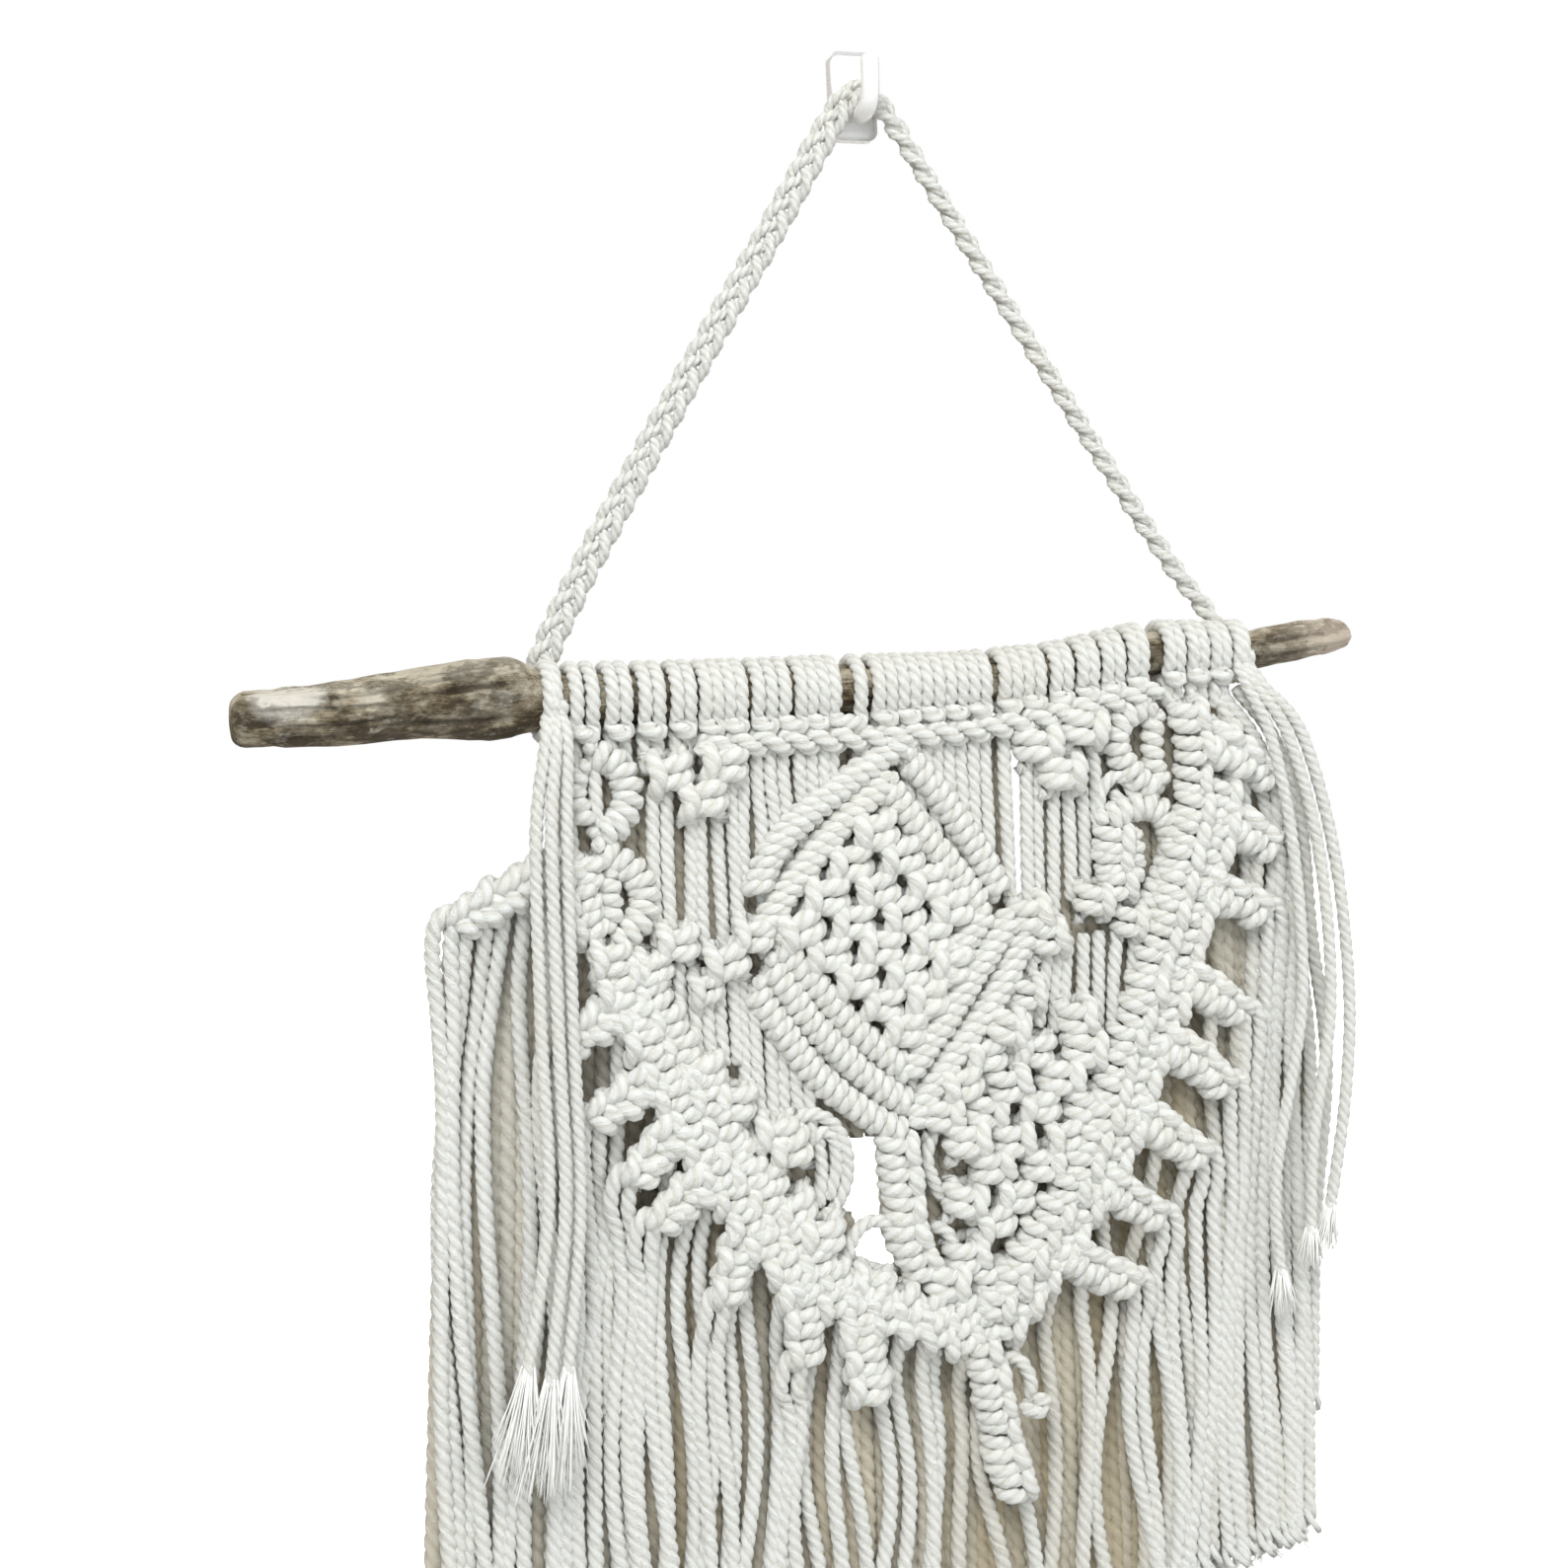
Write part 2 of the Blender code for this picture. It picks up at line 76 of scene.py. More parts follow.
# Knob of the branch: x, angle round it in radians, height. Cracks: how long they run out at their
# ends, and x at both ends, angle round it (0 front, 90 top), depth, width in degrees.
KNOB = (-108, 0.9, 0.55)
CRACK_END = 8.0
CRACKS = (
    (-183, -128, 8, 0.9, 4.0), (-176, -138, -22, 1.1, 5.0), (-168, -112, 34, 0.7, 3.5),
    (-150, -106, -38, 1.2, 6.0), (-144, -108, 14, 0.9, 4.5), (-180, -150, -50, 0.9, 5.0),
    (-132, -106, 56, 0.6, 4.0), (-170, -120, 95, 0.8, 4.0), (-160, -110, 150, 0.9, 4.0),
    (-178, -130, 205, 1.0, 5.0), (-150, -108, 250, 1.0, 5.0), (114, 146, 6, 0.7, 6.0),
    (116, 140, -34, 0.9, 7.0), (120, 148, 60, 0.5, 5.0), (115, 144, 160, 0.8, 6.0),
    (118, 142, 235, 0.7, 6.0),
)

# Hook: its plate's width, depth and height, with the corners' radius and the raised face; then the
# arm's radius, its way as y, z, and its rounded tip as shares of the radius and steps up.
HOOK_PLATE = (14.0, 2.6, 26.0)
PLATE_CORNER = 3.0
PLATE_RIM = 0.9
PLATE_RISE = 0.5
HOOK_ARM = 2.7
HOOK_ROUTE = ((18.6, 168.4), (15.5, 166.2), (11.0, 165.2), (6.4, 165.8), (3.4, 168.6),
              (2.6, 172.5), (2.4, 176.5), (2.4, 178.6))
HOOK_TIP = ((0.86, 0.8), (0.70, 0.7), (0.5, 0.4))

# Stretches of lark's head wraps between the places where the wood shows: left, right, wraps.
WRAP_STRETCHES = (
    (-95.8, -86.9, 2), (-85.3, -77.9, 2), (-76.1, -68.4, 2), (-66.8, -59.6, 2),
    (-58.5, -44.8, 4), (-43.4, -31.8, 3), (-30.4, -17.2, 4), (-13.0, -9.0, 1),
    (-7.2, 29.4, 10), (31.8, 46.6, 4), (48.3, 55.2, 2), (56.8, 63.4, 2),
    (64.8, 71.8, 2), (73.4, 79.2, 2), (85.2, 91.4, 2), (93.0, 99.4, 2), (100.8, 106.8, 2),
)
# Way of a wrap from below the branch, round its back and over the front, in degrees as the cracks,
# and where it then dips to the bight.
WRAP_TURN = (-82, -128, -180, -232, -270, -308, -345, -382)
WRAP_DIP = -48

# Square knot, 13 mm wide and 8.6 mm high: the way of each cord through it, as x, y, z and how
# plump the cord is. The first cord makes the two bars in front, the second the upright loop. No two
# knots are quite alike: they lean by up to 7 degrees and their cords stray by up to 0.35 mm.
KNOT_WIDTH = 13.0
KNOT_HEIGHT = 8.6
KNOT_CORD = 4.4
KNOT_LEAN = 7
KNOT_STRAY = 0.35
BAR_WORKER = (
    (3.6, 1.6, 5.4, 0.85), (0.0, 2.6, 4.6, 0.85), (-3.8, 1.6, 4.3, 0.9), (-5.0, -0.6, 3.6, 1.0),
    (-3.8, -2.9, 2.7, 1.12), (-1.4, -3.8, 2.1, 1.18), (1.0, -2.9, 1.8, 1.05),
    (3.0, -0.6, 1.7, 0.9), (3.4, 1.4, 1.4, 0.85), (0.0, 2.7, 0.8, 0.85), (-3.8, 1.6, 0.2, 0.9),
    (-5.0, -0.6, -0.9, 1.0), (-3.8, -2.9, -1.9, 1.12), (-1.4, -3.8, -2.4, 1.18),
    (1.0, -2.9, -2.7, 1.05), (3.0, -0.6, -3.2, 0.9), (3.6, 1.4, -4.4, 0.85),
)
LOOP_WORKER = (
    (1.6, 1.2, 5.6, 0.85), (4.0, -0.8, 4.9, 0.95), (4.0, -3.2, 3.1, 1.1), (3.5, -4.2, 1.1, 1.18),
    (3.5, -4.2, -1.1, 1.18), (4.0, -3.2, -3.1, 1.1), (4.0, -0.8, -4.9, 0.95),
    (1.6, 1.2, -5.6, 0.85),
)
STRAIGHT_FILLERS = (
    ((-1.9, 0.5, 6.2, 0.95), (-1.9, 0.6, 0.0, 0.95), (-1.9, 0.5, -6.2, 0.95)),
    ((1.9, 0.5, 6.2, 0.95), (1.9, 0.6, 0.0, 0.95), (1.9, 0.5, -6.2, 0.95)),
)
SPREAD_FILLERS = (
    ((-6.4, 0.6, 6.4, 0.95), (-3.4, -0.2, 4.4, 0.95), (-1.7, 0.4, 0.0, 0.9),
     (-3.4, -0.2, -4.4, 0.95), (-6.4, 0.6, -6.4, 0.95)),
    ((6.4, 1.0, 6.4, 0.95), (3.4, 0.4, 4.4, 0.95), (1.7, 0.8, 0.0, 0.9),
     (3.4, 0.4, -4.4, 0.95), (6.4, 1.0, -6.4, 0.95)),
)

# Diamond: its hitched bars, as which way the hitches lean, how far, and the line of x, z.
DIAMOND_BARS = {
    "top_left_outer": (-1, -0.3, ((2, -17), (-6, -22), (-15, -28), (-24, -34), (-33, -41),
                                  (-40, -49), (-44, -58))),
    "top_left_inner": (-1, -0.3, ((-3, -28), (-11, -34), (-19, -41), (-26, -48), (-32, -55),
                                  (-38, -62), (-43, -70))),
    "top_right_outer": (1, -0.3, ((2, -22), (9, -29), (15, -37), (20, -45), (25, -53), (30, -63))),
    "top_right_inner": (1, -0.3, ((-4, -29), (3, -39), (9, -47), (15, -54), (20, -61), (24, -67))),
    "low_left_inner": (1, -0.3, ((-39, -72), (-32, -80), (-25, -88), (-18, -97), (-10, -104),
                                 (-2, -111))),
    "low_left_middle": (1, -0.3, ((-42, -78), (-36, -86), (-30, -95), (-23, -103), (-15, -111),
                                  (-6, -118), (-1, -121))),
    "low_left_outer": (1, -0.3, ((-46, -84), (-43, -90), (-36, -100), (-29, -110), (-20, -118),
                                 (-12, -124), (-3, -129))),
    "low_right_inner": (-1, -0.4, ((25, -67), (21, -72), (14, -80), (8, -88), (3, -95), (-3, -103))),
    "low_right_middle": (-1, -0.4, ((33, -69), (29, -74), (22, -83), (16, -91), (10, -99),
                                    (3, -107), (-2, -113))),
    "low_right_outer": (-1, -0.4, ((38, -74), (34, -80), (29, -89), (22, -98), (14, -107),
                                   (7, -116), (-1, -126))),
}
BAR_COIL = 2.6
BAR_PITCH = 3.6
BAR_CORD = 4.5
BAR_Y = -0.8
# Bars with upright cords between them, and how far apart those cords stand.
BAR_GAP_CORDS = 4.3
BAR_PAIRS = (
    ("top_left_outer", "top_left_inner"), ("top_right_outer", "top_right_inner"),
    ("low_left_inner", "low_left_middle"), ("low_left_middle", "low_left_outer"),
    ("low_right_inner", "low_right_middle"), ("low_right_middle", "low_right_outer"),
)

# Where the tails of the lark's heads go into the knots below: x, z.
TAIL_FEET = (
    (-96, -22), (-80, -22), (-72, -25), (-67, -22), (-52, -22), (-47, -56), (-44, -58), (-36, -47),
    (-28, -41), (-20, -34), (-12, -29), (-4, -24), (4, -25), (10, -31), (14, -36), (20, -45),
    (26, -55), (31, -66), (33.5, -69), (36, -22), (43, -18), (60, -14), (70, -12), (80, -9),
    (88, -11), (98, -12), (107, -10),
)

# Two cords twisted together under the loops of the heading, as x, z.
UNDER_ROW = ((-60, -16.4), (-30, -16.3), (-10, -16.0), (14, -15.6), (34, -14.0), (52, -11.0),
             (70, -7.6), (84, -5.6))
UNDER_ROW_Y = -1.6
UNDER_ROW_REACH = 1.9
UNDER_ROW_PITCH = 15.0
UNDER_ROW_CORD = 4.7

# Net inside the diamond: rows of square knots as the height at the middle and each knot's x.
DIAMOND_NET = (
    (-42, (-8.5,)), (-50, (-16.2, -1)), (-58.2, (-24, -8.5, 7)), (-66.5, (-32, -16.2, -1, 14)),
    (-74.8, (-24, -8.5, 7)), (-83, (-16.2, -1, 13)), (-91, (-8.5, 5)), (-99, (-2,)))
DIAMOND_NET_SLOPE = 0.08
DIAMOND_NET_KNOT = (14.8, 9.8)

# Nets at both sides: rows of square knots as z, left x, right x.
SIDE_NETS = {
    "left": (
        (-107, -74, -48), (-115, -68, -46), (-123, -64, -50), (-131, -58, -28), (-139, -54, -27),
        (-147, -50, -25), (-155, -44, -26), (-163, -38, -25), (-171, -30, -6)),
    "right": (
        (-101, 24, 46), (-109, 14, 66), (-117, 8, 62), (-125, 2, 58), (-133, 6, 53),
        (-141, 6, 48), (-149, 6, 44), (-157, 6, 38), (-165, 4, 33), (-173, -6, 27), (-181, -10, 22)),
}
NET_SPACING = 15.2
NET_EDGE = 4
NET_KNOT = 13.7
NET_KNOT_HEIGHT = 8.8

# Chains of square knots: line as x, z, then knot width, pitch, how far forward they lie, how far
# each knot turns with its chain, and how far the V band's two columns stand from the line.
CHAINS = {
    "right": (
        (((91, -9), (92, -18), (94, -28)), 12.0, 8.0, 1.4, 0.3, 0.0),
        (((97, -31), (96, -44), (91, -59), (85.5, -75), (79, -92), (72.5, -107), (65.5, -123),
          (58, -138), (50, -150), (41, -163), (31, -175), (21, -186)), 12.0, 8.1, 1.6, 0.3, 4.7),
        (((17, -190), (19.5, -204), (23, -220), (26, -236)), 12.0, 8.2, 1.6, 1.0, 0.0),
        (((66, -46), (66, -56), (67, -65)), 11.5, 7.6, 0.6, 1.0, 0.0),
    ),
    "left": (
        (((-83, -72), (-82, -81), (-77, -91), (-72.5, -102), (-67, -113), (-61, -125), (-55, -137),
          (-48, -148), (-40, -159), (-31, -168), (-20, -175), (-7, -179), (7, -184), (18, -189)),
         12.0, 8.1, 1.4, 0.3, 4.5),
        (((-19.5, -180), (-18.5, -191), (-18, -203)), 13.5, 7.8, 0.8, 1.0, 0.0),
        (((-93, -46), (-94, -57), (-91, -68)), 11.5, 7.6, 0.4, 1.0, 0.0),
    ),
    "middle": (
        (((-6, -130), (-4.8, -141), (-3.6, -151), (-2.6, -160), (2, -170)), 12.5, 8.0, 0.6, 1.0, 0.0),
    ),
}

# Small branches of square knots that leave the V band, as x, z, then their width, pitch, how far
# forward they lie, how far each knot turns with them, and how much narrower they end.
BRANCHES = {
    "right": (
        ((98, -21), (108, -26), (119, -34)),
        ((98, -42), (107, -47), (119, -54)),
        ((92, -62), (102, -67), (114, -73)),
        ((86, -90), (94, -95), (105, -103)),
        ((76, -108), (87, -114), (99, -124)),
        ((66, -129), (76, -134), (89, -144)),
        ((55, -148), (64, -153), (75, -161)),
        ((43, -165), (52, -172), (65, -179)),
    ),
    "left": (
        ((-97, -46), (-111, -53), (-129, -62)),
        ((-82, -88), (-91, -91), (-101, -97)),
        ((-74, -107), (-84, -112), (-95, -118)),
        ((-69, -121), (-76, -127), (-83, -135)),
        ((-61, -136), (-69, -141), (-77, -148)),
        ((-50, -150), (-55, -160), (-58, -171)),
        ((-38, -166), (-37, -178), (-36.5, -191)),
    ),
}
BRANCH_WIDTH = 15.0
BRANCH_PITCH = 7.4
BRANCH_FORWARD = 1.0
BRANCH_FOLLOW = 0.8
BRANCH_TAPER = 0.28

# Lower edge of the cloth between the small branches, from which strands also hang.
HEMS = {
    "right": ((5, -189), (16, -192), (30, -184), (44, -170)),
    "left": ((-48, -166), (-38, -172), (-28, -174), (-14, -180), (4, -186)),
}

# Single square knots: x, z, width.
LONE_KNOTS = {
    "right": (
        (43.5, -20, 15), (58, -15.5, 15), (50.5, -28.5, 15), (39, -69, 12.5), (59, -66, 12.5),
        (44, -76, 12), (70, -73, 11), (103, -20, 12), (29, -100, 12), (37, -92, 10), (52, -100, 12)),
    "left": (
        (-68, -23.5, 14), (-52.5, -22, 15), (-59, -31, 15), (-68, -71, 13), (-54, -77, 14),
        (-46, -70, 12.5), (-75, -77, 12), (-60, -84, 10), (-42, -126, 13), (-88, -76, 11)),
}
LONE_KNOT_Y = -0.4

# Leaves: hitched arcs as how wide the hitches are wound, and lines of x, z.
LEAF_ARCS = {
    "right": (
        (2.6, ((80, -9), (73, -12), (68.5, -18), (70, -25), (75, -31), (82, -35))),
        (1.8, ((81.5, -12), (80.5, -20), (81, -28), (84, -34))),
        (2.7, ((63, -44), (69, -41), (77, -39), (83, -42), (86, -49), (84, -57), (79, -65),
               (74, -74))),
        (2.0, ((72, -47), (73, -54), (72, -62)))),
    "left": (
        (2.8, ((-91, -17), (-83, -20), (-79.5, -28), (-82, -36), (-89, -41))),
        (2.0, ((-93, -20), (-95, -28), (-92, -37))),
        (2.8, ((-90, -44), (-82, -48), (-76.5, -55), (-77.5, -63), (-84, -70))),
        (2.0, ((-87, -50), (-86, -58), (-86, -66)))),
}
LEAF_PITCH = 3.9
LEAF_CORD = 4.4
LEAF_Y = -0.4

# Open loops of plain cord, as x, y, z.
LOOPS = (
    ((-35, 0, -122), (-29, -1, -121.5), (-23.5, -1, -125.5), (-20.6, -1, -133), (-21, 0, -142),
     (-25, 1, -150)),
    ((-24.5, 0.5, -173), (-22.6, -0.8, -165), (-20.4, -1.4, -158), (-17, -1.8, -153.8),
     (-12.6, -2.4, -152.8), (-8.6, -2.8, -155.6), (-6.0, -2.4, -162), (-3.4, -1.0, -169)),
    ((-26.5, 0.6, -148), (-26.5, 0.2, -156), (-25.5, 0.6, -166)),
    ((10.5, 1.0, -124), (5.2, -0.4, -131.6), (3.8, -0.6, -137.6), (5.4, -0.4, -143), (8.2, 0.6, -149)),
    ((4.0, 0.5, -156), (8.5, -0.8, -158), (10.5, -0.6, -163), (9.5, 0.6, -170)),
    ((-31, 0.6, -130), (-27.5, -0.4, -126.5), (-24, -0.6, -129), (-23.4, 0, -137), (-26, 0.8, -146)),
    ((-28.4, 0.8, -128), (-27.6, 0.9, -138), (-29, 1, -148)),
    ((62.6, 0.2, -46), (62.8, -0.4, -36), (66.5, -1.4, -30.4), (71.5, -1.2, -31.5), (74, 0.2, -37)),
    ((67.5, 0.4, -34), (69.2, 0.2, -38), (68.6, 0.8, -44)),
    ((61.2, 0.6, -20), (62.2, 0.4, -30), (61.6, 0.9, -44)),
    ((24, 0.2, -196), (29, -1.8, -197), (32, -2.6, -203), (31.4, -2.8, -209)),
)

# Plain cords between the knots: how far they sway, and side, number, first cord's x, z at top and
# foot, last cord's.
SWAY = 0.5
PLAIN_CORDS = (
    ("right", 2, (39.8, -24, 39.6, -68), (43.4, -24, 43.2, -74)),
    ("right", 2, (48.4, -32, 47.8, -76), (52.8, -32, 53.0, -66)),
    ("right", 2, (57.8, -32, 57.6, -64), (63.0, -36, 62.6, -48)),
    ("right", 4, (36.0, -76, 33.0, -98), (48.0, -80, 45.0, -104)),
    ("right", 5, (51.5, -76, 48.5, -104), (72.0, -74, 69.0, -106)),
    ("right", 4, (21.0, -102, 18.0, -124), (33.0, -88, 32.0, -112)),
    ("left", 2, (-72.6, -28, -72.6, -72), (-68.4, -28, -68.8, -70)),
    ("left", 2, (-62.0, -34, -62.4, -74), (-59.6, -34, -59.0, -76)),
    ("left", 2, (-53.4, -30, -53.6, -76), (-49.6, -26, -49.8, -70)),
    ("left", 5, (-67.0, -76, -66.0, -106), (-52.0, -80, -51.0, -106)),
    ("left", 6, (-49.5, -76, -48.5, -130), (-30.0, -112, -30.0, -130)),
    ("left", 2, (-96.5, -16, -95.0, -46), (-88.5, -16, -88.0, -44)),
)

# Cords behind the cloth with shade painted on their fronts, which make its gaps look dark with shade:
# where they hang, how thick and how far apart they are.
BACK_SPANS = {"left": (-96.0, 1.0), "right": (3.0, 97.0)}
BACK_CORD_Y = 6.2
BACK_CORD = 5.8
BACK_SPACING = 4.5
BACK_STEP = 2.2
BACK_SHORTEST = 4.0

# Holes that go right through the cloth, as left and right x, top and foot z seen from the front,
# how far a cord stays clear of them, and the cloth's upper and lower edges.
HOLE_MARGIN = 2.7
CLOTH_HOLES = (
    (36.2, 37.6, -10.0, -67.0), (-19.0, -11.5, -130.0, -151.0), (-17.5, -6.5, -155.0, -169.0),
)
CLOTH_TOP = ((-98, -11), (-60, -13), (20, -13), (50, -9), (100, -6))
CLOTH_FOOT = ((-98, -66), (-84, -78), (-77, -91), (-67, -113), (-55, -137), (-40, -159), (-20, -175),
              (18, -188), (31, -175), (50, -150), (65, -123), (79, -92), (91, -59), (98, -36))

# Fringe: side, left and right end, strands near and far, swing of the ends at left and right.
FRINGES = {
    "fringe_left": ("left", -130.4, 8.0, 23, 33, -14.0, 0.0),
    "fringe_right": ("right", 7.0, 119.0, 12, 31, 0.0, -4.0),
}
# Long strands from the right end of the heading to the trim, in front, and behind them with painted shade:
# x, y, z.
LONG_STRANDS = (
    ((104, 1, -10), (109, 0, -30), (112, 2, -60), (114, 3, -110), (113, 3, -160), (111, 3, -243)),
    ((102, 1, -8), (108, -1, -20), (117, 0, -36), (122, 2, -70), (125, 3, -110), (121, 3, -160),
     (118, 3, -238)),
    ((106, 1, -7), (114, -2, -21), (122, -1, -42), (128, 1, -80), (130, 3, -120), (126, 3, -165),
     (121, 3, -231)),
    ((110, 1, -5), (119, -2, -20), (127, -1, -42), (133, 1, -80), (135, 3, -120), (131, 3, -170),
     (125, 3, -224)),
)
SHADED_LONG_STRANDS = (
    ((100, 4, -12), (109, 7, -28), (114, 8, -56), (117, 8, -100), (118, 8, -140), (116, 8, -236)),
    ((103, 4, -10), (114, 7, -26), (120, 8, -52), (123, 8, -95), (124, 8, -138), (120, 8, -232)),
    ((106, 4, -9), (119, 7, -24), (126, 8, -50), (129, 8, -92), (130, 8, -135), (124, 8, -228)),
)
# How far the ones in front wave to the side, and on what height.
LONG_WAVE = 1.3
LONG_WAVE_HEIGHT = 15.0

# Trim: a shallow V, as where its middle is, the height there and at the sides, and how far out it
# rises.
TRIM_MIDDLE_X = 5.5
TRIM_MIDDLE_Z = -293.0
TRIM_SIDE_Z = -256.0
TRIM_REACH = 130.0

# Strands: how far back they hang and how thick they are; their frayed end; how their waves move on
# from one strand to its neighbour, how wide and how many they are.
FRINGE_NEAR_Y = 3.0
FRINGE_FAR_Y = 8.6
NEAR_STRAND = 4.7
FAR_STRAND = 6.3
FAR_STEP = 2.0
FRAY = 9.0
FRAY_STEP = 2.0
FRAYED_SECTION = (1.0, 0.94, 1.02, 0.95, 1.0, 0.93)
FRAYED_LAY = 16.0
FRAYED_FIBRES = 5
FRAYED_FIBRE = 0.35
WAVE_DRIFT = 0.13
FRINGE_WAVE = (1.6, 4.8)
FRINGE_PACE = (4.6, 6.8)
TIP_WAVE = (1.2, 3.6)
TIP_PACE = 5.5
# How far a strand strays from its even place, at its root, its end, in depth and at the trim, and
# how little of that the far ones stray.
ROOT_STRAY = 1.6
END_STRAY = 2.6
DEEP_STRAY = 1.2
TRIM_STRAY = 3.5
FAR_STRAY = 0.06
# The right fringe has more shade painted on it than the left one: its near strands up to, its far ones by.
RIGHT_NEAR_SHADE = 0.3
RIGHT_FAR_SHADE = 0.12

# Hanging braid: its middle line as x, y, z, and the plait.
BRAID_LINE = (
    (-99.95, 11.0, 3.0), (-98.0, 11.5, 12.0), (-84.0, 11.5, 38.0), (-55.0, 11.5, 86.0),
    (-26.0, 11.5, 132.0), (-6.0, 11.5, 164.5), (2.0, 11.5, 171.6), (10.0, 11.5, 165.5),
    (32.0, 11.5, 131.0), (62.0, 11.5, 84.0), (92.0, 11.5, 38.0), (108.0, 11.5, 17.0),
    (110.9, 11.0, 10.0))
BRAID_CORD = 3.4
BRAID_REPEAT = 23.0
BRAID_WIDE = 2.9
BRAID_DEEP = 1.1
# The strap turns on its way over the hook: its tilt left and right of these places.
BRAID_TURN_X = (-14.0, 18.0)
BRAID_TILTS = (math.radians(14), math.radians(54))
# Turns of the braid's ends round the branch: their middles, number, width and extra room.
LOOP_MIDDLES = (-99.95, 110.95)
LOOP_TURNS = 2.5
LOOP_WIDE = 4.0
LOOP_ROOM = 0.1

# Tails of the braid, from the turns round the branch to where they fray: x, y, z.
TAILS = (
    ((-102.4, -3.4, -7), (-103.5, -7.5, -14), (-107.6, -8.5, -40), (-108.4, -8.5, -90),
     (-108.6, -8.5, -140), (-116.5, -8.6, -184)),
    ((-100.4, -3.4, -7), (-100.8, -8, -14), (-103.6, -9.6, -40), (-104.0, -9.6, -95),
     (-104.2, -9.6, -140), (-110.5, -9.4, -188)),
    ((-98.2, -3.4, -7), (-97.6, -7, -14), (-99.0, -8, -40), (-99.6, -8, -90),
     (-99.8, -8, -140), (-105.5, -8.6, -186)),
    ((109.0, -1.6, 2), (110.5, -5, -5), (117, -7, -22), (122.6, -7, -56), (123.0, -7, -100),
     (112.0, -7, -150), (112.0, -7, -182)),
    ((110.9, -1.6, 2), (113.0, -5.6, -5), (122, -8, -21), (130.4, -8.2, -56), (132.0, -8.2, -100),
     (124.5, -8, -140), (122.0, -8, -170)),
    ((112.6, -1.6, 2), (115.6, -5, -5), (127, -7, -20), (136.0, -7.2, -56), (139.0, -7.2, -97),
     (136.0, -7.2, -130), (129.0, -7, -164)),
)
TAIL_CORD = 3.9
TASSELS = (34.0, 34.0, 34.0, 15.0, 14.0, 15.0)
TASSEL_FIBRES = 90

# Bead knot at the right, below the V band: its place, turns and radius.
BEAD_KNOT = (31.5, -6.0, -210.0)
BEAD_TURNS = 2.4
BEAD_RADIUS = 2.3

# Colours of the cotton and the wood, as linear red, green and blue.
COTTON_LIGHT = (0.895, 0.905, 0.87)
# Painted shade in the grooves between the plies, which the fibre streaks also darken toward.
COTTON_SHADE = (0.58, 0.55, 0.45)
COTTON_WARM = (0.84, 0.815, 0.72)
# Painted shade, multiplied onto the fronts of cords toned 1 to 2.
COTTON_PAINTED_SHADE = (0.58, 0.49, 0.335)
COTTON_FIBRE = (0.93, 0.93, 0.90)
WOOD_STOPS = ((0.24, (0.05, 0.035, 0.018)), (0.42, (0.175, 0.14, 0.085)),
              (0.58, (0.32, 0.275, 0.195)), (0.80, (0.53, 0.48, 0.375)))
BARK = (0.12, 0.092, 0.058)
LICHEN = (0.50, 0.48, 0.40)
BARE_WOOD = (0.66, 0.63, 0.56)
SMOOTH_WOOD = (0.55, 0.475, 0.385)
DARK_PATCH = (0.05, 0.035, 0.022)
# Painted shade inside the cracks.
CRACK_DARK = (0.03, 0.022, 0.014)

# Places on the branch with their own colour: middle, radius and strength.
BARE_SPOTS = (((-174, -2.5, 0.5), 11.0, 1.0), ((-165, -3.0, 2.0), 8.0, 1.0))
SMOOTH_SPOTS = (((147, 1.0, 10.4), 15.0, 1.5), ((133, 0.0, 9.0), 16.0, 0.5))
# Darker patches, one of them on the knob.
DARK_PATCH_SPOTS = (((-107, -4.5, 7.5), 3.2, 2.4), ((-128, -2.0, -3.0), 18.0, 0.5),
               ((-112, -5.0, 0.0), 11.0, 0.6), ((118, 0.0, 8.0), 5.0, 1.0))

# Camera: seen from 18 degrees to the left of square on, 700 mm away, turned a little.
VIEW_TURN = math.radians(18.0)
VIEW_ROLL = math.radians(-2.5)
VIEW_DISTANCE = 0.7
VIEW_TARGET = Vector((-0.03608, -0.02, -0.20008))
VIEW_LENS = 57.09
SENSOR = 36.0

# Stage, in metres: the floor, the softboxes as place, size and watts, and what they face.
FLOOR_Z = -0.56
FLOOR_SIZE = 12.0
SOFTBOXES = {
    "key_softbox": ((-0.65, -1.1, 0.9), 0.8, 19.0),
    "fill_softbox": ((1.1, -1.0, 0.1), 0.9, 5.0),
    "back_softbox": ((0.4, 1.3, 0.5), 0.9, 5.0),
}
LIGHT_TARGET = (0.0, -0.02, -0.2)
# Light of the surroundings in front and behind, as strength and colour.
FRONT_GLOW = 1.0
BACK_GLOW = 0.24
FRONT_COLOUR = (0.95, 0.98, 1.0, 1.0)
BACK_COLOUR = (1.0, 0.84, 0.58, 1.0)


def in_metres(points):
    """Points in millimetres from the middle of the branch, as metres from the hook's back."""
    return (np.asarray(points, float) - HOOK_BACK) * MM


def smooth_line(points, step):
    """Points at an even step on a smooth curve through the given ones."""
    knots = np.array(points, float)
    knots = np.vstack([2 * knots[0] - knots[1], knots, 2 * knots[-1] - knots[-2]])
    t = np.linspace(0, 1, 10, endpoint=False)[:, None]
    fine = []
    for before, start, end, after in zip(knots, knots[1:], knots[2:], knots[3:]):
        fine.append(0.5 * (2 * start + (end - before) * t
                           + (2 * before - 5 * start + 4 * end - after) * t * t
                           + (3 * start - before - 3 * end + after) * t ** 3))
    fine.append(knots[-2:-1])
    fine = np.vstack(fine)
    run = run_along(fine)
    even = np.linspace(0, run[-1], max(3, round(run[-1] / step) + 1))
    return np.stack([np.interp(even, run, fine[:, axis]) for axis in range(fine.shape[1])], 1)


